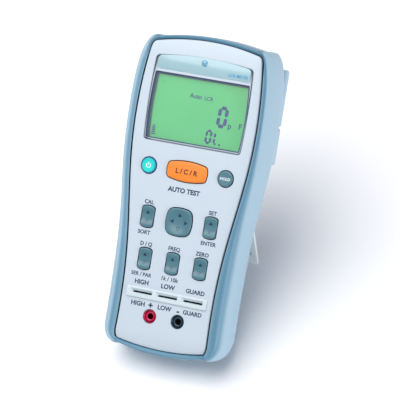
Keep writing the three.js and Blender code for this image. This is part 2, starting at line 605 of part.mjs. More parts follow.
function makeSocketBlock() {
  const { halfX, halfY, z1, wellHalfX, wellHalfY } = SOCKET;
  let body = solid(block(-halfX, halfX, SLOT_Y - halfY, SLOT_Y + halfY, BOARD.z1 + GAP, z1));
  for (const x of SLOT_XS) {
    const well = block(x - wellHalfX, x + wellHalfX, SLOT_Y - wellHalfY, SLOT_Y + wellHalfY, ...THROUGH);
    body = body.subtract(solid(well));
  }
  return body;
}
addPiece('socket_block', makeSocketBlock(), MATERIALS.black);

const CONTACTS = [['h_pot_contact', 0, 1], ['h_cur_contact', 0, -1], ['l_pot_contact', 1, 1],
  ['l_cur_contact', 1, -1], ['guard_upper_contact', 2, 1], ['guard_lower_contact', 2, -1]];
for (const [name, slot, side] of CONTACTS) {
  const x = SLOT_XS[slot];
  const y = SLOT_Y + side * CONTACT.y;
  addPiece(name, block(x - CONTACT.halfX, x + CONTACT.halfX, y - CONTACT.halfY, y + CONTACT.halfY,
    CONTACT.z0, CONTACT.z1), MATERIALS.brass);
}

// ---- banana jacks ----
const JACK_PROFILE = [[0, 19], [JACK_R, 19], [JACK_R, 40.7], [4, 40.7], [4, 27], [3.2, 27], [3.2, 38.6],
  [2.7, 38.6], [2.7, 21], [0, 21]];
const SLEEVE_PROFILE = [[2, 21.4], [2.4, 21.4], [2.4, 38.2], [2, 38.2], [2, 21.4]];
for (const [colour, side] of [['red', -1], ['black', 1]]) {
  const x = side * JACK_PITCH / 2;
  addPiece(`${colour}_jack_body`, turned(JACK_PROFILE, x, JACK_Y, 16), MATERIALS[colour]);
  addPiece(`${colour}_jack_sleeve`, turned(SLEEVE_PROFILE, x, JACK_Y, 14), MATERIALS.steel);
}

// ---- tilt stand ----
function makeBracket() {
  const { halfX, y0, y1, z0, z1 } = BRACKET;
  const { r, width } = KNUCKLE;
  let bracket = solid(block(-halfX, halfX, y0, y1, z0, z1));
  for (const side of [-1, 1]) {
    const x = side * KNUCKLE.x;
    const ear = block(x - width / 2, x + width / 2, HINGE_Y - r, HINGE_Y + r, HINGE_Z, z0 + 0.1);
    const knuckle = new THREE.CylinderGeometry(r, r, width, 14).rotateZ(Math.PI / 2);
    bracket = bracket.add(solid(ear)).add(solid(knuckle.translate(x, HINGE_Y, HINGE_Z)));
  }
  return bracket.subtract(solid(crossRod(HINGE_Y, HINGE_Z, PIN.r + GAP, 30)));
}

// The height above the floor of the lowest point of a piece, once the meter is leaned back.
function floorHeight(geometry) {
  const position = geometry.attributes.position;
  const heights = Array.from({ length: position.count }, (_, i) =>
    position.getY(i) * Math.sin(INCLINE) + position.getZ(i) * Math.cos(INCLINE));
  return Math.min(...heights);
}

function makeStand(floor) {
  const { halfX, neckHalfX, neck, shoulder, length, thickness } = LEAF;
  const half = [[halfX, -length], [halfX, -shoulder], [neckHalfX, -neck], [neckHalfX, 0]];
  const right = half.map(([x, y]) => new THREE.Vector2(x, y));
  const left = half.map(([x, y]) => new THREE.Vector2(-x, y)).reverse();
  const leaf = prism([...right, ...left], -thickness / 2, thickness / 2);
  leaf.rotateX(STAND_OPEN).translate(0, HINGE_Y, HINGE_Z);
  const below = block(-60, 60, -300, 300, -100, 0);
  below.translate(0, 0, floor).rotateX(-INCLINE);
  return solid(leaf)
    .add(solid(crossRod(HINGE_Y, HINGE_Z, BARREL.r, BARREL.halfX, 16)))
    .subtract(solid(crossRod(HINGE_Y, HINGE_Z, PIN.r + GAP, 40)))
    .subtract(solid(below));
}

const floor = floorHeight(meter.getObjectByName('holster').geometry);
addPiece('stand_bracket', makeBracket(), MATERIALS.rearShell);
addPiece('stand_hinge_pin', crossRod(HINGE_Y, HINGE_Z, PIN.r, PIN.halfX), MATERIALS.steel);
addPiece('tilt_stand', makeStand(floor), MATERIALS.standPlastic);

// ---- stand the meter on the floor, centred over the origin ----
meter.rotation.x = INCLINE;
const group = new THREE.Group();
group.add(meter);
const bounds = new THREE.Box3().setFromObject(group, true);
meter.position.set(-(bounds.min.x + bounds.max.x) / 2, -(bounds.min.y + bounds.max.y) / 2, -bounds.min.z);

export default group;
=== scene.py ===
"""Looks of a handheld LCR meter leaning on its tilt stand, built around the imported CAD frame.

Every shape is drawn in the meter's own axes in millimetres, as the CAD is: X across, Y along its
length from the bottom edge, Z out of the face from the back plane. PLACE leans it back.
"""
import json
import math

import bmesh
import bpy
from mathutils import Matrix, Vector


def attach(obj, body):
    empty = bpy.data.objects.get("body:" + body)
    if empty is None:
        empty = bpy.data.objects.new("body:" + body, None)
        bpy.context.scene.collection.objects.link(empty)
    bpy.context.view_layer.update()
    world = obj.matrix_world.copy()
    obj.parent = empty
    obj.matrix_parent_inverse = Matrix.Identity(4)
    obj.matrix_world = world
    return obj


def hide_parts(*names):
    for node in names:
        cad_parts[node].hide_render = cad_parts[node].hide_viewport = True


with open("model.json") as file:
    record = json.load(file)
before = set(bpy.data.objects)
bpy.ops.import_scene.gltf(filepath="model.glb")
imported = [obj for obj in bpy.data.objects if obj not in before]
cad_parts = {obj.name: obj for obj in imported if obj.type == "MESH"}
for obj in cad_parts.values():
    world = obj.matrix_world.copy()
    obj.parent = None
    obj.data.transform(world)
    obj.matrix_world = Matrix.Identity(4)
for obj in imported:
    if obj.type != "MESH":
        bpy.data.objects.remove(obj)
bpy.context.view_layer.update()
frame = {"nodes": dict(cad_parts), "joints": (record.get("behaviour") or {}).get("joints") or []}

# ---- the meter's own axes, from the frame ----
MM = 0.001
JOINTS = {joint["name"]: joint for joint in frame["joints"]}
PRESS_AXIS = Vector(JOINTS["power_press"]["axis"])
INCLINE = math.atan2(PRESS_AXIS.y, -PRESS_AXIS.z)
HINGE_Y, HINGE_Z = 114.0, 4.6
LEAN = Matrix.Rotation(INCLINE, 4, "X")
PLACE = (Matrix.Translation(Vector(JOINTS["stand_hinge"]["pos_m"])) @ LEAN
         @ Matrix.Scale(MM, 4) @ Matrix.Translation(Vector((0, -HINGE_Y, -HINGE_Z))))

# ---- dimensions in millimetres ----
LENGTH, MIDDLE_Y = 201.4, 100.0
BACK_Z, SPLIT_Z, LIP_Z, FACE_Z = 4.0, 24.0, 37.0, 41.0
SIDE_ROUND, HALF_WIDTH_REF = 20.5, 44.0
BOTTOM_ROUND, TOP_ROUND = (20.0, 26.0), (14.0, 16.0)
BOOT_WALL, CASE_WALL = 3.0, 2.0
FACE_GAP, GAP = 0.4, 0.3
PLATFORM_HALF, PLATFORM_Y, PLATFORM_Z, COVER_Y = 41.0, (128.4, 151.8), 15.0, (152.6, 188.5)
COVER_Z, COVER_WALL, SEAT_Z, SEAT_END_Y = 6.0, 1.8, 4.8, 181.9
STAND_WINDOW_HALF, STAND_WINDOW_Y, STAND_WINDOW_Z = 26.6, (45.5, 119.6), 12
LEAF_LENGTH, LEAF_HALF, LEAF_HALF_THICK, NECK_HALF = 70, 26.2, 0.9, 22
BARREL_R, BARREL_HALF, PIN_BORE_R = 2.0, 22.6, 1.3
TOP_ROW_Y, UPPER_ROW_Y, LOWER_ROW_Y = 116.6, 85.1, 58.9
ROUND_KEY_X, ROUND_KEY_R = 26.2, 4.95
KEY_TOP_Z, KEY_BASE_Z, KEY_FLANGE_Z, NAV_BASE_Z = 42.0, 34.2, 37.6, 36.2
MEASURE_TOP_Z = KEY_TOP_Z + 0.3
ROCKERS = {"cal_rocker": (-21.5, UPPER_ROW_Y), "setup_rocker": (21.5, UPPER_ROW_Y),
           "mode_rocker": (-19.0, LOWER_ROW_Y), "freq_rocker": (0.0, LOWER_ROW_Y),
           "zero_rocker": (19.0, LOWER_ROW_Y)}
SLOT_Y, SLOT_XS = 37.6, (-17.3, 0.0, 17.3)
JACK_X, JACK_Y, JACK_HOLE_R = 9.525, 24.0, 4.25
INDICATOR_Y, INDICATOR_R, INDICATOR_HOLE_R = 184.6, 2.0, 2.25
POCKET_Z, BADGE_TOP_Z, LCD_TOP_Z = 40.68, 40.98, 37.8
FRAME_Z, SURROUND_Z, SURROUND_WALL = (38.1, 38.7), (38.75, 40.3), 0.35
SCREWS = ((-24, 17, 11.4), (24, 17, 11.4), (-33, 140, 1.0), (33, 140, 1.0))
SCREW_TIP_Z, HEAD_BORE_R, SHANK_BORE_R = 31, 3.2, 1.8
COVER_SCREW, COVER_SCREW_LENGTH = (28, 169, 0.1), 15
AXIS_R = 0.05  # where a turned profile closes at its axis


# ---- mesh helpers ----
def add_object(name, mesh):
    obj = bpy.data.objects.new(name, mesh)
    bpy.context.scene.collection.objects.link(obj)
    return obj


def mesh_of(name, points, faces):
    mesh = bpy.data.meshes.new(name)
    mesh.from_pydata([tuple(p) for p in points], [], faces)
    mesh.update()
    return add_object(name, mesh)


def rings_object(name, rings, tones=None):
    """A closed body through rings of equal length, capped at both ends. tones shades each ring."""
    count = len(rings[0])
    points = [p for ring in rings for p in ring]
    faces = []
    for level in range(len(rings) - 1):
        for i in range(count):
            a, b = level * count + i, level * count + (i + 1) % count
            faces.append((a, b, b + count, a + count))
    faces.append(tuple(reversed(range(count))))
    last = (len(rings) - 1) * count
    faces.append(tuple(range(last, last + count)))
    obj = mesh_of(name, points, faces)
    if tones:
        set_tones(obj, [tone for ring_tone in tones for tone in ring_tone])
    return obj


def set_tones(obj, tones):
    attribute = obj.data.attributes.new("tone", "FLOAT", "POINT")
    attribute.data.foreach_set("value", tones)


def bake(obj):
    """Replaces an object's mesh by its modified one."""
    graph = bpy.context.evaluated_depsgraph_get()
    mesh = bpy.data.meshes.new_from_object(obj.evaluated_get(graph))
    obj.modifiers.clear()
    obj.data = mesh
    return obj


def cut(obj, cutters, operation="DIFFERENCE"):
    for cutter in cutters:
        modifier = obj.modifiers.new("cut", "BOOLEAN")
        modifier.operation = operation
        modifier.solver = "EXACT"
        modifier.object = cutter
    bpy.context.view_layer.update()
    bake(obj)
    for cutter in cutters:
        bpy.data.objects.remove(cutter)
    return obj


def bevel(obj, width, segments=3, angle=40):
    modifier = obj.modifiers.new("bevel", "BEVEL")
    modifier.width = width
    modifier.segments = segments
    modifier.limit_method = "ANGLE"
    modifier.angle_limit = math.radians(angle)
    return bake(obj)


def shade(obj, angle=32):
    obj.data.shade_smooth()
    obj.data.set_sharp_from_angle(angle=math.radians(angle))
    return obj


def prism(name, outline, z0, z1):
    return rings_object(name, [[(x, y, z) for x, y in outline] for z in (z0, z1)])


def bar(x0, x1, y0, y1):
    return [(x0, y0), (x1, y0), (x1, y1), (x0, y1)]


def block(name, x0, x1, y0, y1, z0, z1):
    return prism(name, bar(x0, x1, y0, y1), z0, z1)


def lathe(name, profile, x=0.0, y=0.0, sides=64):
    """Turns (radius, z) points about an axis out of the face. The profile runs up the outside."""
    rings = [[(x + r * math.cos(a), y + r * math.sin(a), z)
              for a in (2 * math.pi * i / sides for i in range(sides))] for r, z in profile]
    return rings_object(name, rings)


def outward(obj):
    work = bmesh.new()
    work.from_mesh(obj.data)
    bmesh.ops.remove_doubles(work, verts=work.verts, dist=1e-5)
    bmesh.ops.recalc_face_normals(work, faces=work.faces)
    work.to_mesh(obj.data)
    work.free()
    return obj


def finish_piece(obj, body, material, replaces=(), angle=32, placed=True):
    """Leans a piece back with the meter, gives it its finish and lets it ride on its body."""
    if placed:
        outward(obj)
        shade(obj, angle)
        obj.data.transform(PLACE)
    obj.data.materials.clear()
    obj.data.materials.append(material)
    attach(obj, body)
    if replaces:
        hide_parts(*replaces)
    return obj


# ---- outlines ----
def bezier(steps, a, b, c, d):
    points = []
    for i in range(steps + 1):
        t = i / steps
        k = ((1 - t) ** 3, 3 * t * (1 - t) ** 2, 3 * t * t * (1 - t), t ** 3)
        points.append(tuple(k[0] * a[j] + k[1] * b[j] + k[2] * c[j] + k[3] * d[j] for j in (0, 1)))
    return points


def bowed(xs, y0, bow):
    """Points across the meter on a shallow curve."""
    return [(x, y0 + bow * x * x) for x in xs]


def spread(start, end, steps):
    return [start + (end - start) * i / steps for i in range(steps + 1)]


def mirrored(half):
    return half + [(-x, y) for x, y in reversed(half[1:-1])]


def offset(outline, distance):
    """Moves a closed outline outwards by a distance, or by one distance per point."""
    count = len(outline)
    moved = []
    for i, (x, y) in enumerate(outline):
        before, after = outline[i - 1], outline[(i + 1) % count]
        dx, dy = after[0] - before[0], after[1] - before[1]
        size = math.hypot(dx, dy) or 1.0
        step = distance[i] if isinstance(distance, list) else distance
        moved.append((x + dy / size * step, y - dx / size * step))
    return moved


def smoothstep(t):
    t = min(1.0, max(0.0, t))
    return t * t * (3 - 2 * t)


# The boot's outside and the gap round the face run side by side, with the same number of points.
RIM_STEPS, END_STEPS, EAR_STEPS, SIDE_STEPS, SHOULDER_STEPS = 26, 14, 22, 60, 34
BOOT_HALF = (
    bowed(spread(0, 29.8, RIM_STEPS), 0, 0.0042)[:-1]
    + bezier(END_STEPS, (29.8, 3.73), (30.4, 2.9), (31.9, 2.6), (33.8, 3.4))[:-1]
    + bezier(EAR_STEPS, (33.8, 3.4), (38.4, 5.2), (40.9, 10.5), (41, 16.5))
    + bezier(SIDE_STEPS, (41, 16.5), (40.4, 116.4), (47.4, 96.2), (47.4, 155))[1:]
    + bezier(SHOULDER_STEPS, (47.4, 155), (47.4, 170.8), (46.6, 191.5), (39.6, 197.3))[1:]
    + bezier(END_STEPS, (39.6, 197.3), (38.0, 198.6), (36.2, 198.6), (35.0, 196.3))[1:]
    + bowed(spread(35.0, 0, RIM_STEPS), LENGTH - 0.2, -0.0031)[1:]
)
FACE_HALF = (
    bowed(spread(0, 29.0, RIM_STEPS), 4, 0.0035)[:-1]
    + bezier(END_STEPS, (29.0, 6.94), (29.9, 7.1), (30.5, 7.4), (30.8, 8.3))[:-1]
    + bezier(EAR_STEPS, (30.8, 8.3), (31.2, 9.3), (31.4, 10.5), (31.5, 12))
    + bezier(SIDE_STEPS, (31.5, 12), (28.5, 76.7), (41.1, 99.9), (41.1, 148))[1:]
    + bezier(SHOULDER_STEPS, (41.1, 148), (41.1, 166.6), (39.4, 181), (38.0, 189.8))[1:]
    + bezier(END_STEPS, (38.0, 189.8), (37.5, 192.9), (36.3, 194.2), (33.2, 194.65))[1:]
    + bowed(spread(33.2, 0, RIM_STEPS), 198.4, -0.0034)[1:]
)
BOOT_RING = mirrored(BOOT_HALF)
FACE_RING = mirrored(FACE_HALF)


def rail_share():
    """How much of each station is raised rail (1) and how much is low rim (0)."""
    half = []
    last = len(BOOT_HALF) - 1
    rise = RIM_STEPS + END_STEPS
    for i in range(last + 1):
        low = (i - RIM_STEPS - 1) / (END_STEPS - 3)
        high = (last - i - RIM_STEPS - 1) / (END_STEPS - 3)
        half.append(smoothstep(min(low, high, 1.0)) if i < rise or last - i < rise else 1.0)
    return half + list(reversed(half[1:-1]))


RAIL = rail_share()


# ---- the boot: a rubber holster with proud side rails ----
def rounding(reach, depth, drop):
    """How far an elliptical edge pulls in at a given drop below where it starts."""
    if drop <= 0:
        return 0.0
    return reach * (1 - math.sqrt(max(0.0, 1 - (drop / depth) ** 2)))


def body_ring(z, inset):
    side_r = SIDE_ROUND - inset
    side = inset + rounding(side_r, side_r, BACK_Z + SIDE_ROUND - z)
    ends = [inset + rounding(reach - inset, depth - inset, BACK_Z + depth - z)
            for reach, depth in (BOTTOM_ROUND, TOP_ROUND)]
    ring = []
    for x, y in BOOT_RING:
        rise = y - MIDDLE_Y
        scale = 1 - ends[0] / MIDDLE_Y if rise < 0 else 1 - ends[1] / (LENGTH - MIDDLE_Y)
        ring.append((x * (1 - side / HALF_WIDTH_REF), MIDDLE_Y + rise * scale, z))
    return ring


def back_levels(inset, count):
    depth = BOTTOM_ROUND[1] - inset
    return [BACK_Z + BOTTOM_ROUND[1] - depth * math.cos(i / count * math.pi / 2) for i in range(count + 1)]


# Sections across the boot's edge: (share of the way in from the outside to the gap, height).
RAIL_SECTION = (
    (0, 31.0), (0.005, 32.5), (0.03, 34.8), (0.09, 37.4), (0.18, 39.9), (0.29, 41.6), (0.4, 42.6),
    (0.52, 42.6), (0.64, 41.9), (0.77, 41.1), (0.9, 40.7), (0.97, 40.5), (1.0, 40.1), (1.0, LIP_Z + 0.2),
)
# The low rim runs through the same shares of the way at these heights.
RIM_HEIGHTS = (31.0, 33.0, 35.2, 37.3, 38.7, 39.5, 39.8, 39.75, 39.5, 39.25, 38.9, 38.6, 38.1, LIP_Z + 0.2)
SECTION_STEPS = 4
EAR_DIP, EAR_Y, EAR_RUN = 0.9, 188, 9
# How far in each rail's painted shade on its inner slope starts, at the lower end and at the upper end; the
# two sides differ with the way the light falls on them.
COVE_SHADE_STARTS, COVE_SHADE_Y, COVE_SHADE_RUN = {-1: (0.5, 0.54), 1: (0.05, 0.3)}, 60, 120


def spline(values, t):
    """Catmull-Rom through evenly spaced values."""
    i = min(int(t), len(values) - 2)
    f = t - i
    p = [values[max(0, min(len(values) - 1, i + k))] for k in (-1, 0, 1, 2)]
    return 0.5 * (2 * p[1] + (p[2] - p[0]) * f + (2 * p[0] - 5 * p[1] + 4 * p[2] - p[3]) * f * f
                  + (3 * p[1] - p[0] - 3 * p[2] + p[3]) * f ** 3)


def edge_rings():
    gap_edge = offset(FACE_RING, [FACE_GAP * (0.35 + 0.65 * share) for share in RAIL])
    rings, tones = [], []
    steps = (len(RAIL_SECTION) - 1) * SECTION_STEPS
    for k in range(steps + 1):
        t = k / SECTION_STEPS
        across = min(1.0, max(0.0, spline([p[0] for p in RAIL_SECTION], t)))
        high = spline([p[1] for p in RAIL_SECTION], t)
        low = spline(RIM_HEIGHTS, t)
        ring, tone = [], []
        for (ox, oy), (ix, iy), share in zip(BOOT_RING, gap_edge, RAIL):
            dip = EAR_DIP * smoothstep((oy - EAR_Y) / EAR_RUN)
            ring.append((ox + (ix - ox) * across, oy + (iy - oy) * across, low + (high - dip - low) * share))
            # Painted shade: each rail's concave inner slope is coloured darker, from these starts inwards.
            start, end = COVE_SHADE_STARTS[1 if ox > 0 else -1]
            start += (end - start) * smoothstep((oy - COVE_SHADE_Y) / COVE_SHADE_RUN)
            cove = smoothstep((across - start) / 0.2) * (1 - 0.35 * smoothstep((across - 0.6) / 0.4))
            # The low rim is darker moulding; its lighter outer edge is a painted highlight.
            rim = 0.75 + 0.25 * smoothstep((across - 0.2) / 0.3)
            # Painted shade: the boot's wall down into the gap round the face turns near black.
            deep_shade = 2.0 if t > len(RAIL_SECTION) - 2.5 else 0.0
            tone.append(max(deep_shade, 0.9 * cove * share + rim * (1 - share)))
        rings.append(ring)
        tones.append(tone)
    return rings, tones


def make_boot():
    outer = [body_ring(z, 0) for z in back_levels(0, 16)]
    edge, edge_tones = edge_rings()
    inner = [body_ring(z, BOOT_WALL) for z in [LIP_Z] + list(reversed(back_levels(BOOT_WALL, 10)))]
    count = len(BOOT_RING)
    # Painted shade: the inside of the boot is coloured near black.
    tones = [[0.0] * count] * len(outer) + edge_tones + [[1.6] * count] * len(inner)
    boot = rings_object("boot", outer + edge + inner, tones)
    window_x = PLATFORM_HALF + GAP
    windows = [
        block("cut_platform", -window_x, window_x, PLATFORM_Y[0] - GAP, COVER_Y[1] + GAP, -1,
              PLATFORM_Z + 2),
        block("cut_stand", -STAND_WINDOW_HALF, STAND_WINDOW_HALF, *STAND_WINDOW_Y, -1, STAND_WINDOW_Z),
    ]
    for window in windows:
        bevel(window, 1.6, 4, 60)
    return cut(boot, windows)


# ---- materials ----
def rgb(code, scale=1.0):
    channels = [int(code[i:i + 2], 16) / 255 for i in (0, 2, 4)]
    linear = [c / 12.92 if c <= 0.04045 else ((c + 0.055) / 1.055) ** 2.4 for c in channels]
    return tuple(min(1.0, c * scale) for c in linear) + (1.0,)


def noise(tree, coords, scale, detail=2.0):
    node = tree.nodes.new("ShaderNodeTexNoise")
    node.inputs["Scale"].default_value = scale
    node.inputs["Detail"].default_value = detail
    tree.links.new(coords.outputs["Object"], node.inputs["Vector"])
    return node.outputs["Fac"]


def blend_colours(tree, factor, low, high):
    node = tree.nodes.new("ShaderNodeMix")
    node.data_type = "RGBA"
    tree.links.new(factor, node.inputs["Factor"])
    for socket, value in (("A", low), ("B", high)):
        target = next(s for s in node.inputs if s.name == socket and s.type == "RGBA")
        if isinstance(value, tuple):
            target.default_value = value
        else:
            tree.links.new(value, target)
    return next(s for s in node.outputs if s.type == "RGBA")


def finish(name, colour, roughness, mottle=0.05, mottle_scale=55.0, grain=0.12, grain_scale=2400.0,
           metallic=0.0, specular=0.5, coat=0.0, dark=None, deep_shade=None, alpha=1.0, glow=0.0):
    """A moulded or printed surface: broad colour drift, varying gloss and a fine grain in relief.

    Where the tone attribute rises to 1 the colour turns to dark, and from 1 to 2 it turns to the deep colour,
    which is painted shade.
    """
    # On the boot, the face and the keys the tone attribute carries mostly painted shade in gaps, hollows and
    # holes.
    material = bpy.data.materials.new(name)
    material.use_nodes = True
    tree = material.node_tree
    shader = tree.nodes["Principled BSDF"]
    coords = tree.nodes.new("ShaderNodeTexCoord")
    broad = noise(tree, coords, mottle_scale, 3.0)
    fine = noise(tree, coords, grain_scale, 2.0)
    base = blend_colours(tree, broad, rgb(colour, 1 - mottle), rgb(colour, 1 + mottle))
    if dark:
        tone = tree.nodes.new("ShaderNodeAttribute")
        tone.attribute_name = "tone"
        base = blend_colours(tree, tone.outputs["Fac"], base, rgb(dark))
        if deep_shade:
            rest = tree.nodes.new("ShaderNodeMath")
            rest.operation = "SUBTRACT"
            rest.use_clamp = True
            rest.inputs[1].default_value = 1.0
            tree.links.new(tone.outputs["Fac"], rest.inputs[0])
            base = blend_colours(tree, rest.outputs["Value"], base, rgb(deep_shade))
    tree.links.new(base, shader.inputs["Base Color"])
    gloss = tree.nodes.new("ShaderNodeMapRange")
    gloss.inputs["To Min"].default_value = max(0.02, roughness - 0.06)
    gloss.inputs["To Max"].default_value = roughness + 0.06
    tree.links.new(broad, gloss.inputs["Value"])
    tree.links.new(gloss.outputs["Result"], shader.inputs["Roughness"])
    bump = tree.nodes.new("ShaderNodeBump")
    bump.inputs["Strength"].default_value = grain
    bump.inputs["Distance"].default_value = 0.0001
    tree.links.new(fine, bump.inputs["Height"])
    tree.links.new(bump.outputs["Normal"], shader.inputs["Normal"])
    shader.inputs["Metallic"].default_value = metallic
    shader.inputs["Specular IOR Level"].default_value = specular
    shader.inputs["Coat Weight"].default_value = coat
    shader.inputs["Coat Roughness"].default_value = 0.12
    shader.inputs["Alpha"].default_value = alpha
    if glow:
        tree.links.new(base, shader.inputs["Emission Color"])
        shader.inputs["Emission Strength"].default_value = glow
    return material


# The boot's dark colour is painted shade on the rails' inner slopes and the darker moulding of its low rims;
# its deep colour is painted shade in the gap and inside.
BOOT = finish("boot_rubber", "a3c1d1", 0.45, mottle=0.03, grain=0.16, grain_scale=1800, dark="5488a1",
              deep_shade="10262f")
REAR = finish("rear_shell_plastic", "a9c6d6", 0.45, grain=0.3, grain_scale=3000)
# The face's dark colour is painted shade in the gap round the face and down the walls of its holes.
FACE = finish("face_plastic", "c9d6df", 0.42, mottle=0.015, grain=0.14, grain_scale=2600, dark="15303f")
BADGE = finish("badge_film", "a3c6cd", 0.25, mottle=0.04, grain=0.03, coat=0.5)
LENS = finish("lens_blue", "6eaac5", 0.12, grain=0.0, coat=1.0)
NAVY = finish("display_frame", "284a70", 0.4, grain=0.05)
INK = finish("print_ink", "173a58", 0.5, mottle=0.08, mottle_scale=400, grain=0.05)
PALE_INK = finish("pale_ink", "3f98c4", 0.5, mottle=0.06, mottle_scale=400, grain=0.05)
WHITE_INK = finish("white_ink", "f2f8fa", 0.5, mottle=0.03, mottle_scale=400, grain=0.05)
BROWN_INK = finish("brown_ink", "5a2d22", 0.5, mottle=0.06, mottle_scale=400, grain=0.05)
SEGMENT = finish("lcd_segment", "2f4478", 0.35, mottle=0.1, mottle_scale=200, grain=0.0)
GREEN = finish("lcd_green", "55b974", 0.3, mottle=0.07, mottle_scale=35, grain=0.0, dark="76883c", glow=0.16)
# The keys' dark colours are painted shade on their sides and rounded edges.
CYAN = finish("cyan_silicone", "06dccd", 0.42, grain=0.1, dark="2b86b4")
ORANGE = finish("orange_silicone", "ff8c2e", 0.38, grain=0.1, dark="8a4a20")
KEY = finish("grey_silicone", "507c88", 0.36, mottle=0.05, grain=0.08, coat=0.12, dark="17333d")
WHITE = finish("white_plastic", "d5e2e6", 0.35, mottle=0.02, grain=0.1)
STAND = finish("stand_plastic", "eef6f5", 0.38, mottle=0.03, grain=0.14)
RED = finish("jack_red", "cf1850", 0.3, grain=0.06, coat=0.3)
BLACK = finish("jack_black", "22404f", 0.32, grain=0.06, coat=0.3)
NICKEL = finish("nickel_plate", "aeb2b8", 0.25, mottle=0.06, grain=0.04, metallic=1.0)
BRASS = finish("spring_brass", "c29a4c", 0.3, mottle=0.1, grain=0.05, metallic=1.0)
RUBBER = finish("black_rubber", "30353a", 0.75, mottle=0.1, grain=0.3)
SOLDER_MASK = finish("solder_mask", "1d5c3a", 0.35, mottle=0.25, mottle_scale=500, grain=0.4, coat=0.4)
CHIP = finish("chip_epoxy", "1b1c1f", 0.5, grain=0.3, grain_scale=4000)
JACKET = finish("battery_jacket", "2c3240", 0.3, mottle=0.1, grain=0.04, coat=0.5)
DIFFUSER = finish("diffuser", "e9efe9", 0.5, grain=0.05)
WINDOW = finish("window_acrylic", "eef6f6", 0.06, grain=0.0, alpha=0.05)


# ---- the face: front case with rolled ends ----
def face_roll(y):
    """How far the face curls back near its two ends."""
    low = max(0.0, 13.0 - y) / 9.0
    high = max(0.0, y - 186.5) / 12.0
    return 1.7 * low * low + 1.5 * high * high


def dense(points, gap=2.5):
    """Adds points along a closed outline, about a gap apart."""
    result = []
    for (ax, ay), (bx, by) in zip(points, points[1:] + points[:1]):
        parts = max(1, round(math.hypot(bx - ax, by - ay) / gap))
        result += [(ax + (bx - ax) * i / parts, ay + (by - ay) * i / parts) for i in range(parts)]
    return result


def panel(half, y0, y1, radius, top_bow=0.0, bottom_bow=0.0, side_bow=0.0, steps=6, gap=2.5):
    """A round-cornered panel whose top, bottom and sides may bow outwards in the middle."""
    height = y1 - y0
    square = []
    corners = ((half - radius, radius, -90), (half - radius, height - radius, 0),
               (radius - half, height - radius, 90), (radius - half, radius, 180))
    for cx, cy, start in corners:
        for i in range(steps + 1):
            a = math.radians(start + 90 * i / steps)
            square.append((cx + radius * math.cos(a), cy + radius * math.sin(a)))
    shaped = []
    for x, y in dense(square, gap):
        v = y / height
        low, high = y0 + bottom_bow * x * x, y1 - top_bow * x * x
        shaped.append((x * (1 + side_bow / half * (1 - (2 * v - 1) ** 2)), low + (high - low) * v))
    return shaped


def moved(outline, x, y):
    return [(px + x, py + y) for px, py in outline]


def circle(r, sides=56):
    angles = [2 * math.pi * i / sides for i in range(sides)]
    return [(r * math.cos(a), r * math.sin(a)) for a in angles]


BARREL_OUTLINE = panel(12.75, -6.3, 6.3, 1.2, top_bow=0.0105, bottom_bow=0.0105, side_bow=0.85, gap=1.2)
ROCKER_OUTLINE = panel(4.15, -6.75, 6.75, 0.8, top_bow=0.058, bottom_bow=0.058, gap=0.8)
NAV_OUTLINE = panel(7.4, -8.6, 8.6, 2.3, top_bow=0.022, bottom_bow=0.022, side_bow=1.35, gap=0.9)
KEY_CLEAR = 0.4


def flared(name, outline, chamfer=0.3, top=FACE_Z):
    """A cutter whose mouth widens, so the hole it leaves has a softened edge."""
    # Painted shade: the tones darken the wall of the hole it leaves, fading out at the mouth.
    levels = ((30, 0, 1), (top - chamfer, 0, 0.8), (top + 0.05, chamfer, 0), (top + 6, chamfer, 0))
    return rings_object(name, [[(x, y, z) for x, y in offset(outline, grow)] for z, grow, tone in levels],
                        [[tone] * len(outline) for z, grow, tone in levels])


def merge(name, objects):
    work = bmesh.new()
    for obj in objects:
        work.from_mesh(obj.data)
        bpy.data.objects.remove(obj)
    mesh = bpy.data.meshes.new(name)
    work.to_mesh(mesh)
    work.free()
    return add_object(name, mesh)


LIP_OUTLINE = panel(33.2, 132.0, 188.1, 2.3, top_bow=0.0022, side_bow=0.9)
APERTURE_OUTLINE = panel(32.0, 133.7, 175.5, 0.9, side_bow=1.0)


EDGE_ROUND, EDGE_STEPS = 0.9, 6
FACE_SHARES = (0.985, 0.96, 0.93, 0.9, 0.86, 0.8, 0.7, 0.55, 0.4, 0.2)


def face_blank():
    """The front case without its openings: inner skin, outer skin, rounded edge and crowned face."""
    sides = offset(FACE_RING, [-FACE_GAP * (0.35 + 0.65 * share) for share in RAIL])
    inset = BOOT_WALL + GAP
    inner = offset(sides, -3.0)
    rings = [[(x, y, FACE_Z - CASE_WALL) for x, y in inner], [(x, y, 35.0) for x, y in inner]]
    rings += [body_ring(z, inset + CASE_WALL) for z in (34.7, 30, SPLIT_Z + GAP / 2)]
    rings += [body_ring(z, inset) for z in (SPLIT_Z + GAP / 2, 30, LIP_Z - GAP)]
    rings += [[(x, y, z - face_roll(y)) for x, y in sides] for z in (LIP_Z - GAP, FACE_Z - 1.4)]
    # Painted shade: the face's sides down into the gap and its inner skin are dark, and the start of its
    # rounded edge a little dark.
    tones = [1.0] * len(rings) + [0.35]
    for step in range(EDGE_STEPS + 1):
        a = step / EDGE_STEPS * math.pi / 2
        drop = EDGE_ROUND * (1 - math.sin(a))
        edge = offset(sides, -EDGE_ROUND * (1 - math.cos(a)))
        rings.append([(x, y, FACE_Z - drop - face_roll(y)) for x, y in edge])
    edge = offset(sides, -EDGE_ROUND)
    for share in FACE_SHARES:
        rings.append([(x * share, MIDDLE_Y + (y - MIDDLE_Y) * share,
                       FACE_Z - face_roll(MIDDLE_Y + (y - MIDDLE_Y) * share)) for x, y in edge])
    tones += [0.0] * (len(rings) - len(tones))
    return outward(rings_object("face", rings, [[tone] * len(edge) for tone in tones]))


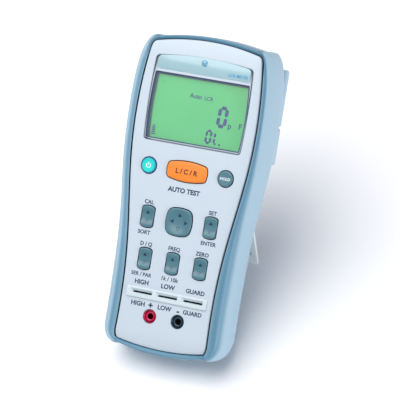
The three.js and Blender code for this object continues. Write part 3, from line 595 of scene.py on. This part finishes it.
def display_pocket():
    """The shallow pocket that holds the display and the badge, with a sloping lip."""
    slope = ((POCKET_Z, -0.6), (FACE_Z + 0.05, 0.25), (FACE_Z + 5, 0.25))
    rings = [[(x, y, z) for x, y in offset(LIP_OUTLINE, grow)] for z, grow in slope]
    return outward(rings_object("cut_pocket", rings, [[0.0] * len(LIP_OUTLINE) for _ in slope]))


def face_holes():
    holes = [flared("h", APERTURE_OUTLINE, 0.15, POCKET_Z),
             flared("h", moved(circle(INDICATOR_HOLE_R), 0, INDICATOR_Y), 0.1),
             block("h", -26, 26, SLOT_Y - 2.6, SLOT_Y + 2.6, 30, 50)]
    holes += [flared("h", moved(circle(JACK_HOLE_R), side * JACK_X, JACK_Y), 0.55) for side in (-1, 1)]
    holes += [flared("h", moved(circle(ROUND_KEY_R + KEY_CLEAR), side * ROUND_KEY_X, TOP_ROW_Y))
              for side in (-1, 1)]
    holes += [flared("h", moved(offset(BARREL_OUTLINE, KEY_CLEAR), 0, TOP_ROW_Y)),
              flared("h", moved(offset(NAV_OUTLINE, KEY_CLEAR), 0, UPPER_ROW_Y))]
    holes += [flared("h", moved(offset(ROCKER_OUTLINE, KEY_CLEAR), x, y)) for x, y in ROCKERS.values()]
    return merge("cut_holes", [outward(hole) for hole in holes])


def make_face():
    return cut(face_blank(), [display_pocket(), face_holes()])


finish_piece(outward(make_boot()), "meter", BOOT, ["holster"], angle=40)
finish_piece(make_face(), "meter", FACE, ["front_case"], angle=18)


# ---- keys ----
def crowned(outline, top, edge, surface, shares=(0.97, 0.93, 0.87, 0.8, 0.7, 0.6, 0.5, 0.4, 0.28, 0.15)):
    """Rings over a key's rounded edge and across its top. surface(x, y) lowers the top."""
    rings = []
    for step in range(6):
        a = step / 5 * math.pi / 2
        ring = offset(outline, -edge * (1 - math.cos(a)))
        rings.append([(x, y, top - edge * (1 - math.sin(a)) - surface(x, y)) for x, y in ring])
    last = offset(outline, -edge)
    for share in shares:
        rings.append([(x * share, y * share, top - surface(x * share, y * share)) for x, y in last])
    return rings


def key_cap(name, outline, top, edge, surface, flange, base=KEY_BASE_Z, edge_shade_tones=(0.4,)):
    wide = offset(outline, flange)
    rings = [[(x, y, z) for x, y in wide] for z in (base, KEY_FLANGE_Z)]
    rings += [[(x, y, z) for x, y in outline] for z in (KEY_FLANGE_Z, FACE_Z - 0.6)]
    rings += crowned(outline, top, edge, surface)
    # Painted shade: a key's flange and sides are dark, and its lowest edge rings take the given shade tones.
    tones = [1.0, 1.0, 1.0, 1.0] + list(edge_shade_tones) + [0.0] * (len(rings) - 4 - len(edge_shade_tones))
    return rings_object(name, rings, [[tone] * len(outline) for tone in tones])


def shift(obj, x, y):
    obj.data.transform(Matrix.Translation((x, y, 0)))
    return obj


def dome_surface(x, y):
    return 0.0022 * x * x + 0.006 * y * y


def plain_surface(x, y):
    return 0.25 * math.exp(-(x * x + y * y) / 14.0)


def trough_surface(x, y):
    return 0.9 * math.exp(-((y / 3.6) ** 4)) * (1 - 0.25 * (x / 4.15) ** 2)


def dish_surface(x, y):
    return 1.05 * math.exp(-((math.hypot(x, y) / 5.8) ** 4))


def ink(name, shapes, surface, top, body, material, at=(0, 0), lift=0.035):
    """Prints flat shapes on a surface as a film a few hundredths of a millimetre thick."""
    pieces = []
    for shape in shapes:
        rings = [[(x, y, top - surface(x, y) + z) for x, y in shape] for z in (-0.04, lift)]
        pieces.append(rings_object("ink", rings))
    return finish_piece(shift(merge(name, pieces), *at), body, material, angle=60)


def arc_band(r, width, start, end, steps=24):
    angles = [math.radians(start + (end - start) * i / steps) for i in range(steps + 1)]
    outer = [((r + width / 2) * math.cos(a), (r + width / 2) * math.sin(a)) for a in angles]
    inner = [((r - width / 2) * math.cos(a), (r - width / 2) * math.sin(a)) for a in reversed(angles)]
    return outer + inner


def turned_points(points, quarter_turns):
    for _ in range(quarter_turns):
        points = [(-y, x) for x, y in points]
    return points


def triangle(size):
    return [(-size, -size * 0.7), (size, -size * 0.7), (0, size)]


def arrow(size, quarter_turns, x, y):
    return moved(turned_points(triangle(size), quarter_turns), x, y)


def shortened(a, b, share=0.02):
    """The two ends of a line, each moved a little towards the other."""
    return [tuple(p + (q - p) * share for p, q in zip(start, end)) for start, end in ((a, b), (b, a))]


def hollow_arrow(size, quarter_turns, x, y, line=0.3):
    """A triangle drawn as three strips that stop just short of each other."""
    outer = triangle(size)
    share = 1 - line / size * 1.3
    inner = [(px * share, py * share) for px, py in outer]
    strips = []
    for i in range(3):
        near, far = shortened(outer[i], outer[(i + 1) % 3])
        back, front = shortened(inner[i], inner[(i + 1) % 3])
        strips.append([near, far, front, back])
    return [moved(turned_points(strip, quarter_turns), x, y) for strip in strips]


FILM = 0.035


def lettering(words, top, material, body, name, surface=None, lift=0.03):
    """Raises generic legends as a thin film. words holds (text, x, y of its middle, cap height, width)."""
    pieces = []
    for text, x, y, cap, weight in words:
        curve = bpy.data.curves.new("legend", "FONT")
        curve.body = text
        curve.size = cap / 0.73
        curve.align_x = "CENTER"
        curve.offset = weight
        curve.extrude = FILM
        curve.resolution_u = 3
        obj = add_object("legend", curve)
        bpy.context.view_layer.update()
        graph = bpy.context.evaluated_depsgraph_get()
        mesh = bpy.data.meshes.new_from_object(obj.evaluated_get(graph))
        bpy.data.objects.remove(obj)
        mesh.transform(Matrix.Translation((x, y - cap / 2, 0)))
        for vertex in mesh.vertices:
            drop = surface(vertex.co.x, vertex.co.y) if surface else 0.0
            vertex.co.z += top - drop + lift - FILM
        pieces.append(add_object("legend", mesh))
    return finish_piece(merge(name, pieces), body, material, angle=60)


def make_round_keys():
    # The last entry of each row is the painted shade on that key's rounded edge, darkest on the power key.
    for side, name, body, material, slot, rim in (
            (-1, "power_button", "power_key", CYAN, "cyan_key", (1, 1, 1, 1, 0.9, 0.5)),
            (1, "hold_button", "hold_key", KEY, "grey_key", (0.5,))):
        cap = key_cap(name + "_cap", circle(ROUND_KEY_R), KEY_TOP_Z, 0.75, plain_surface, 1.0, edge_shade_tones=rim)
        finish_piece(shift(cap, side * ROUND_KEY_X, TOP_ROW_Y), body, material, [name], angle=50)


def make_measure_key():
    cap = key_cap("measure_button_cap", BARREL_OUTLINE, MEASURE_TOP_Z, 1.0, dome_surface, 0.9)
    finish_piece(shift(cap, 0, TOP_ROW_Y), "measure_key", ORANGE, ["measure_button"], angle=50)


def make_rockers():
    for name, (x, y) in ROCKERS.items():
        body = name.replace("rocker", "key")
        cap = key_cap(name + "_cap", ROCKER_OUTLINE, KEY_TOP_Z, 0.55, trough_surface, 0.9)
        finish_piece(shift(cap, x, y), body, KEY, [name], angle=50)
        marks = [arrow(1.25, 0, 0, 2.6)] + hollow_arrow(1.4, 2, 0, -2.6)
        ink(name + "_arrows", marks, trough_surface, KEY_TOP_Z, body, INK, (x, y))


def make_nav_pad():
    cap = key_cap("nav_pad_cap", NAV_OUTLINE, KEY_TOP_Z, 0.7, dish_surface, 0.5, base=NAV_BASE_Z)
    finish_piece(shift(cap, 0, UPPER_ROW_Y), "nav_key", KEY, ["nav_pad"], angle=50)
    marks = [arrow(1.35, 0, 0, 4.2), arrow(1.35, 1, -4.6, 0), arrow(1.35, 3, 4.6, 0)]
    marks += hollow_arrow(1.5, 2, 0, -4.3)
    ink("nav_pad_arrows", marks, dish_surface, KEY_TOP_Z, "nav_key", INK, (0, UPPER_ROW_Y))


def print_key_marks():
    power_mark = [arc_band(1.45, 0.5, 125, 415), bar(-0.25, 0.25, 0.1, 2.1)]
    ink("power_mark", power_mark, plain_surface, KEY_TOP_Z, "power_key", WHITE_INK,
        (-ROUND_KEY_X, TOP_ROW_Y))
    lettering([("HOLD", ROUND_KEY_X, TOP_ROW_Y, 1.8, 0.05)], KEY_TOP_Z - 0.1, WHITE_INK,
              "hold_key", "hold_legend")
    lettering([("L / C / R", 0, TOP_ROW_Y, 3.1, 0.15)], MEASURE_TOP_Z, BROWN_INK,
              "measure_key", "measure_legend", lambda x, y: dome_surface(x, y - TOP_ROW_Y))


make_round_keys()
make_measure_key()
make_rockers()
make_nav_pad()
print_key_marks()


# ---- printed legends on the face ----
LEGENDS = [
    ("AUTO TEST", 0, 104.7, 3.0, 0.16),
    ("CAL", -22, 94.3, 2.5, 0.1), ("SORT", -22.3, 75.2, 2.5, 0.1),
    ("SET", 21.5, 94.4, 2.5, 0.1), ("ENTER", 21.7, 75.3, 2.5, 0.09),
    ("D / Q", -19.5, 68.2, 2.5, 0.1), ("SER / PAR", -19.6, 49.1, 2.4, 0.08),
    ("FREQ", -0.2, 68.2, 2.5, 0.09), ("1k / 10k", -0.2, 49.2, 2.6, 0.08), ("ZERO", 19, 68.2, 2.5, 0.1),
    ("HIGH", -18.4, 44.3, 2.9, 0.13), ("LOW", -0.4, 44.3, 2.9, 0.13), ("GUARD", 18.4, 44.3, 2.7, 0.12),
    ("HIGH", -18.6, 30.9, 2.9, 0.13), ("LOW", -0.4, 30.9, 2.9, 0.13), ("GUARD", 18.7, 30.9, 2.7, 0.12),
    ("+", -9.9, 31.0, 3.8, 0.24), ("-", 9.0, 30.9, 3.8, 0.24),
]
lettering(LEGENDS, FACE_Z, INK, "meter", "face_legends")


# ---- display ----
def make_badge():
    strip = panel(31.6, 177.3, 188.0, 2.6, top_bow=0.0027)
    badge = bevel(prism("badge_strip", strip, 40.7, BADGE_TOP_Z), 0.15, 2)
    finish_piece(badge, "meter", BADGE, ["badge_plate"])
    lettering([("LCR METER", 23.5, 180.0, 1.9, 0.07)], BADGE_TOP_Z, PALE_INK, "meter",
              "badge_legend")


def make_indicator():
    dome = [(AXIS_R, 36.5), (INDICATOR_R, 36.5), (INDICATOR_R, 41.1), (1.85, 41.45), (1.5, 41.7),
            (1.0, 41.86), (0.4, 41.93), (AXIS_R, 41.94)]
    finish_piece(lathe("indicator_dome", dome, 0, INDICATOR_Y), "meter", LENS,
                 ["indicator_lens"], angle=50)


def make_display_frame():
    outer = panel(34.4, 130.3, 177.5, 1.0)
    hole = panel(30.45, 134.3, 173.9, 0.5, side_bow=1.05)
    bezel = cut(prism("display_frame", outer, *FRAME_Z), [flared("h", hole, 0.1, FRAME_Z[1])])
    finish_piece(bezel, "meter", NAVY, ["lcd_bezel"])


def make_display_surround():
    """A thin dark wall round the inside of the display opening."""
    wall_out, wall_in = offset(APERTURE_OUTLINE, -0.02), offset(APERTURE_OUTLINE, -SURROUND_WALL)
    low, high = SURROUND_Z
    section = ((wall_out, low), (wall_out, high), (wall_in, high), (wall_in, low))
    points = [(x, y, z) for outline, z in section for x, y in outline]
    count, turns = len(wall_out), len(section)
    faces = [(level * count + i, level * count + (i + 1) % count,
              (level + 1) % turns * count + (i + 1) % count, (level + 1) % turns * count + i)
             for level in range(turns) for i in range(count)]
    finish_piece(mesh_of("display_surround", points, faces), "meter", NAVY)


LCD_X, LCD_Y, LCD_Z = (-33.5, 33.5), (131, 176.8), (35.8, LCD_TOP_Z)
LCD_COLUMNS, LCD_ROWS = 134, 92


def lcd_tone(x, y):
    """The polariser's edge is an olive line at the left and the top, and one corner is duller."""
    bow = 1.05 * (1 - ((y - 154) / 20) ** 2)
    left = 1 - smoothstep((x + 30.3 + bow) / 0.5)
    high = 1 - smoothstep((173.8 - y) / 0.4)
    corner = 0.16 * smoothstep((x + y - 175) / 40)
    return min(1.0, max(left, 0.55 * high, corner))


def make_lcd():
    """The lit glass: a fine grid on top that carries the tones, with sides and a plain back."""
    columns, rows, row = LCD_COLUMNS, LCD_ROWS, LCD_COLUMNS + 1
    grid = [(x, y) for y in spread(*LCD_Y, rows) for x in spread(*LCD_X, columns)]
    points = [(x, y, LCD_Z[1]) for x, y in grid]
    tones = [lcd_tone(x, y) for x, y in grid]
    corners = [j * row + i for j in range(rows) for i in range(columns)]
    faces = [(a, a + 1, a + row + 1, a + row) for a in corners]
    border = list(range(row)) + [(j + 1) * row - 1 for j in range(1, rows + 1)]
    border += [rows * row + i for i in range(columns - 1, -1, -1)]
    border += [j * row for j in range(rows - 1, 0, -1)]
    start = len(points)
    points += [(*grid[i], LCD_Z[0]) for i in border]
    tones += [0.0] * len(border)
    for k in range(len(border)):
        n = (k + 1) % len(border)
        faces.append((border[k], start + k, start + n, border[n]))
    faces.append(tuple(range(start, start + len(border))))
    glass = mesh_of("lcd_face", points, faces)
    set_tones(glass, tones)
    finish_piece(glass, "meter", GREEN, ["lcd_glass"])


def digit(segments, x, y, width, height, line, lean=0.05):
    """The lit bars of a seven-segment figure, named a to g, with its lower left corner at x, y."""
    half, gap, h = height / 2, line * 0.16, line / 2
    ends = {
        "a": ((0, height), (width, height)), "g": ((0, half), (width, half)), "d": ((0, 0), (width, 0)),
        "b": ((width, half), (width, height)), "c": ((width, 0), (width, half)),
        "f": ((0, half), (0, height)), "e": ((0, 0), (0, half)),
    }
    shapes = []
    for name in segments:
        (ax, ay), (bx, by) = ends[name]
        if ay == by:
            shape = [(ax + gap, ay), (ax + h, ay - h), (bx - h, ay - h),
                     (bx - gap, ay), (bx - h, ay + h), (ax + h, ay + h)]
        else:
            shape = [(ax, ay + gap), (ax + h, ay + h), (ax + h, by - h),
                     (ax, by - gap), (ax - h, by - h), (ax - h, ay + h)]
        shapes.append([(x + px + lean * py, y + py) for px, py in shape])
    return shapes


def flat_surface(x, y):
    return 0.0


def battery_sign():
    cells = [bar(-29.7, -27.4, 135.9 + 1.35 * i, 136.8 + 1.35 * i) for i in range(4)]
    return cells + [bar(-29.3, -27.8, 141.3, 142.0), bar(-26.9, -26.5, 136.2, 137.0)]


def make_readings():
    shapes = digit("abcdef", 13.6, 147.9, 4.6, 11.3, 2.3)
    shapes += digit("abcdef", 7.3, 136.5, 3.0, 7.5, 1.5)
    shapes += digit("def", 12.9, 136.5, 1.9, 7.0, 1.4)
    shapes.append(moved(circle(0.7, 16), 16.8, 136.3))
    shapes += battery_sign() + [bar(-27.0, -26.6, 168.9, 170.1)]
    ink("lcd_figures", shapes, flat_surface, LCD_TOP_Z, "meter", SEGMENT, lift=0.05)
    words = [("p", 21.8, 149.2, 3.6, 0.13), ("F", 28.8, 149.6, 3.5, 0.13),
             ("Auto", -3.6, 163.8, 2.9, 0.08), ("LCR", 5.2, 163.4, 2.4, 0.07)]
    lettering(words, LCD_TOP_Z, SEGMENT, "meter", "lcd_words", lift=0.05)


make_badge()
make_indicator()
make_display_frame()
make_display_surround()
make_lcd()
make_readings()


# ---- component slots and jacks ----
def slot_cutter(x):
    """A narrow slit that opens into a bevelled mouth, wider towards the display."""
    levels = ((30, 6.5, -0.6, 0.6), (39.9, 6.5, -0.6, 0.6), (40.0, 6.6, -0.75, 0.75),
              (42.0, 7.6, -1.55, 2.25), (44, 7.6, -1.55, 2.25))
    rings = [[(x + px, SLOT_Y + py, z) for px, py in bar(-half, half, low, high)]
             for z, half, low, high in levels]
    return outward(rings_object("h", rings))


def make_slot_plate():
    plate = bevel(prism("slot_plate", panel(27.4, SLOT_Y - 3.3, SLOT_Y + 3.3, 0.5), 41.05, 41.95), 0.35, 3)
    stem = block("stem", -25.7, 25.7, SLOT_Y - 2.3, SLOT_Y + 2.3, 38.3, 41.4)
    cut(plate, [stem], "UNION")
    plate = cut(plate, [merge("cut_slots", [slot_cutter(x) for x in SLOT_XS])])
    finish_piece(plate, "meter", WHITE, ["terminal_bezel"])


# A jack's section: up the outside and over the rim, down the ring gap, over the inner ring, down the hole.
JACK_PROFILE = (
    (AXIS_R, 19), (4.1, 19), (4.1, 40.0), (4.0, 40.3), (3.8, 40.4), (3.6, 40.2), (3.55, 39.8), (3.55, 27),
    (3.1, 27), (3.1, 39.4), (2.95, 39.7), (2.7, 39.8), (2.25, 39.75), (2.0, 39.5), (2.0, 38.35),
    (2.65, 38.3), (2.65, 21), (AXIS_R, 21),
)


def make_jacks():
    for colour, side, material in (("red", -1, RED), ("black", 1, BLACK)):
        finish_piece(lathe(f"{colour}_jack_shell", JACK_PROFILE, side * JACK_X, JACK_Y), "meter", material,
                     [f"{colour}_jack_body"], angle=45)


make_slot_plate()
make_jacks()


# ---- back of the meter ----
WELL_X, WELL_Y, WELL_TOP_Z, WELL_WALL = (-35.6, 21.0), (155.2, 182.6), 21.8, 1.2
GRIP_HALF, GRIP_YS, GRIP_WIDTH = 10, (156.6, 159.0, 161.4), 0.8


def rear_blank():
    """The rear shell, closed along its split line, without its pad and openings."""
    inset, top = BOOT_WALL + GAP, SPLIT_Z - GAP / 2
    outer = [z for z in back_levels(inset, 12) if z < top - 0.5] + [top]
    inner = [top] + [z for z in reversed(back_levels(inset + CASE_WALL, 10)) if z < top - 0.5]
    return outward(rings_object("rear_shell", [body_ring(z, inset) for z in outer]
                                + [body_ring(z, inset + CASE_WALL) for z in inner]))


def rear_hollows(seat_x):
    """Hollows behind the raised pad and the cover's seat, the hinge pocket and the screw holes."""
    pad_x, seat_in_x = PLATFORM_HALF - CASE_WALL, seat_x - CASE_WALL
    hollows = [block("h", -pad_x, pad_x, PLATFORM_Y[0] + CASE_WALL, PLATFORM_Y[1] - CASE_WALL, 2, PLATFORM_Z),
               block("h", -seat_in_x, seat_in_x, PLATFORM_Y[1] + 0.8, SEAT_END_Y, 7, PLATFORM_Z),
               block("h", -26.5, 26.5, 110.5, 119.5, 0, 8.5)]
    for x, y, z in SCREWS:
        for r, depth in ((HEAD_BORE_R, z + 2.2), (SHANK_BORE_R, 30)):
            hollows.append(prism("h", moved(circle(r, 24), x, y), -1, depth))
    return hollows


def add_battery_well(shell):
    (x0, x1), (y0, y1), wall = WELL_X, WELL_Y, WELL_WALL
    well = block("well", x0 - wall, x1 + wall, y0 - wall, y1 + wall, SEAT_Z, WELL_TOP_Z + wall)
    cut(shell, [outward(well)], "UNION")
    cut(shell, [outward(block("h", x0, x1, y0, y1, -1, WELL_TOP_Z))])


def make_rear_case():
    shell = rear_blank()
    seat_x = PLATFORM_HALF - COVER_WALL - GAP
    pad = bevel(block("pad", -PLATFORM_HALF, PLATFORM_HALF, *PLATFORM_Y, 0, PLATFORM_Z), 1.6, 5)
    seat = block("seat", -seat_x, seat_x, PLATFORM_Y[1] - 1.5, COVER_Y[1] - COVER_WALL - GAP, SEAT_Z,
                 PLATFORM_Z)
    cut(shell, [outward(pad), outward(seat)], "UNION")
    for hollow in rear_hollows(seat_x):
        cut(shell, [outward(hollow)])
    add_battery_well(shell)
    finish_piece(shell, "meter", REAR, ["rear_case"], angle=35)


def make_battery_cover():
    y0, y1 = COVER_Y
    inner_x = PLATFORM_HALF - COVER_WALL
    cover = bevel(block("battery_lid", -PLATFORM_HALF, PLATFORM_HALF, y0, y1, 0, COVER_Z), 1.7, 5)
    cutters = [block("h", -inner_x, inner_x, y0 + COVER_WALL, y1 - COVER_WALL, COVER_WALL, 8)]
    cutters += [block("h", -GRIP_HALF, GRIP_HALF, y, y + GRIP_WIDTH, -1, 0.5) for y in GRIP_YS]
    cut(cover, [merge("cut_lid", [outward(cutter) for cutter in cutters])])
    x, y = COVER_SCREW[:2]
    cut(cover, [outward(prism("boss", moved(circle(4.5, 32), x, y), 1.3, 4.2))], "UNION")
    for r, low, high in ((HEAD_BORE_R, -1, 2.4), (SHANK_BORE_R, 1, 5)):
        cut(cover, [outward(prism("h", moved(circle(r, 32), x, y), low, high))])
    finish_piece(cover, "meter", REAR, ["battery_cover"], angle=35)


def make_screw(name, x, y, z, length):
    head_r, shank_r, end = 2.9, 1.5, z + length
    cross, half_slot, slot_z = 1.5, 0.28, (z - 1, z + 1.2)
    profile = [(AXIS_R, z + 0.25), (1.4, z + 0.2), (2.5, z), (2.8, z + 0.15), (head_r, z + 0.5),
               (head_r, z + 1.6), (shank_r, z + 1.8), (shank_r, end - 0.8), (0.9, end), (AXIS_R, end)]
    screw = outward(lathe(name + "_part", profile, x, y, 32))
    for half_x, half_y in ((cross, half_slot), (half_slot, cross)):
        cut(screw, [outward(block("h", x - half_x, x + half_x, y - half_y, y + half_y, *slot_z))])
    finish_piece(screw, "meter", NICKEL, [name], angle=35)


def cross_rod(radius, half, sides=48):
    """Points and faces of a round bar across the meter, on the stand's hinge axis."""
    points = [(x, HINGE_Y + radius * math.cos(a), HINGE_Z + radius * math.sin(a)) for x in (-half, half)
              for a in (2 * math.pi * i / sides for i in range(sides))]
    faces = [(i, (i + 1) % sides, sides + (i + 1) % sides, sides + i) for i in range(sides)]
    return points, faces + [tuple(range(sides)), tuple(range(2 * sides - 1, sides - 1, -1))]


def leaf_blank():
    """The leaf below its hinge axis, with a shallow recess in its face."""
    half = [(LEAF_HALF, -LEAF_LENGTH), (LEAF_HALF, -9), (NECK_HALF, -5), (NECK_HALF, 0)]
    outline = half + [(-x, y) for x, y in reversed(half)]
    leaf = outward(prism("stand_leaf", outline, -LEAF_HALF_THICK, LEAF_HALF_THICK))
    recess = outward(prism("h", bar(-22.5, 22.5, -58, -12), 0.4, 3))
    return cut(leaf, [bevel(recess, 0.3, 2)])


def trim_at_bench(obj):
    """Cuts a piece that is already in place flat, just above the bench, and closes the cut."""
    work = bmesh.new()
    work.from_mesh(obj.data)
    everything = work.verts[:] + work.edges[:] + work.faces[:]
    bmesh.ops.bisect_plane(work, geom=everything, plane_co=(0, 0, 0.00002), plane_no=(0, 0, -1),
                           clear_outer=True)
    bmesh.ops.holes_fill(work, edges=[edge for edge in work.edges if edge.is_boundary])
    bmesh.ops.recalc_face_normals(work, faces=work.faces)
    work.to_mesh(obj.data)
    work.free()


def make_stand():
    open_angle = math.radians(JOINTS["stand_hinge"]["range_deg"][1])
    leaf = leaf_blank()
    leaf.data.transform(Matrix.Translation((0, HINGE_Y, HINGE_Z)) @ Matrix.Rotation(open_angle, 4, "X"))
    cut(leaf, [outward(mesh_of("barrel", *cross_rod(BARREL_R, BARREL_HALF)))], "UNION")
    cut(leaf, [outward(mesh_of("h", *cross_rod(PIN_BORE_R, 40)))])
    leaf.data.transform(PLACE)
    trim_at_bench(leaf)
    bevel(leaf, 0.35 * MM, 3, 50)
    shade(leaf, 35)
    finish_piece(leaf, "stand", STAND, ["tilt_stand"], placed=False)


make_rear_case()
make_battery_cover()
for index, (sx, sy, sz) in enumerate(SCREWS):
    make_screw(f"case_screw_{index + 1}", sx, sy, sz + GAP, SCREW_TIP_Z - sz)
make_screw("battery_cover_screw", *COVER_SCREW[:2], COVER_SCREW[2] + GAP, COVER_SCREW_LENGTH)
make_stand()

# ---- CAD pieces that keep their shape and get a proper finish ----
CAD_FINISHES = {
    WINDOW: ["display_window"],
    REAR: ["stand_bracket"],
    NICKEL: ["stand_hinge_pin", "red_jack_sleeve", "black_jack_sleeve", "crystal"],
    BRASS: ["h_pot_contact", "h_cur_contact", "l_pot_contact", "l_cur_contact", "guard_upper_contact",
            "guard_lower_contact"],
    SOLDER_MASK: ["main_board"],
    CHIP: ["processor_chip", "analog_chip", "buzzer"],
    WHITE: ["relay_high", "relay_low", "input_fuse", "indicator_led"],
    DIFFUSER: ["backlight_panel"],
    RUBBER: ["zebra_strip_lower", "zebra_strip_upper", "keypad_mat"],
    BLACK: ["battery_snap", "battery_lead_black", "socket_block"],
    RED: ["battery_lead_red"],
    JACKET: ["battery_9v"],
    KEY: ["nav_pivot"],
}
for material, names in CAD_FINISHES.items():
    for name in names:
        node = frame["nodes"][name]
        node.data.materials.clear()
        node.data.materials.append(material)


# ---- stage: pale floor, soft light, camera ----
def add_floor():
    floor = mesh_of("floor", [(-6, -6, 0), (6, -6, 0), (6, 6, 0), (-6, 6, 0)], [(0, 1, 2, 3)])
    floor.data.materials.append(finish("floor_paper", "fefefe", 0.9, mottle=0.01, mottle_scale=4, grain=0.05,
                                       grain_scale=600, specular=0.1))


def add_area(name, place, aim, size, energy, colour):
    light = bpy.data.lights.new(name, "AREA")
    light.shape = "DISK"
    light.size = size
    light.energy = energy
    light.color = colour
    obj = add_object(name, light)
    obj.location = place
    obj.rotation_euler = (Vector(aim) - Vector(place)).to_track_quat("-Z", "Y").to_euler()


def add_world():
    world = bpy.data.worlds.new("studio")
    world.use_nodes = True
    background = world.node_tree.nodes["Background"]
    background.inputs["Color"].default_value = (0.78, 0.8, 1.0, 1.0)
    background.inputs["Strength"].default_value = 0.26
    bpy.context.scene.world = world


def add_camera():
    """Places the camera in the meter's own axes, then leans it with the meter."""
    lens, place = 264.7, Vector((716.4, 196.0, 1712.0))
    right = Vector((0.9061, 0.1608, -0.3913)).normalized()
    back = Vector((0.3881, 0.0523, 0.9201)).normalized()
    up = back.cross(right).normalized()
    right = up.cross(back)
    turn = Matrix((right, up, back)).transposed().to_4x4()
    data = bpy.data.cameras.new("camera")
    data.lens = lens
    data.sensor_width = 36.0
    data.clip_end = 20.0
    camera = add_object("camera", data)
    camera.matrix_world = Matrix.Translation(PLACE @ place) @ LEAN @ turn
    bpy.context.scene.camera = camera


add_floor()
add_world()
AIM = (0, 0, 0.07)
add_area("key", (-0.32, -0.02, 1.5), AIM, 1.8, 28, (1.0, 0.99, 0.98))
add_area("fill", (1.6, -0.45, 0.28), AIM, 0.5, 12, (0.98, 0.99, 1.0))
add_camera()
bpy.context.scene.view_settings.view_transform = "Standard"
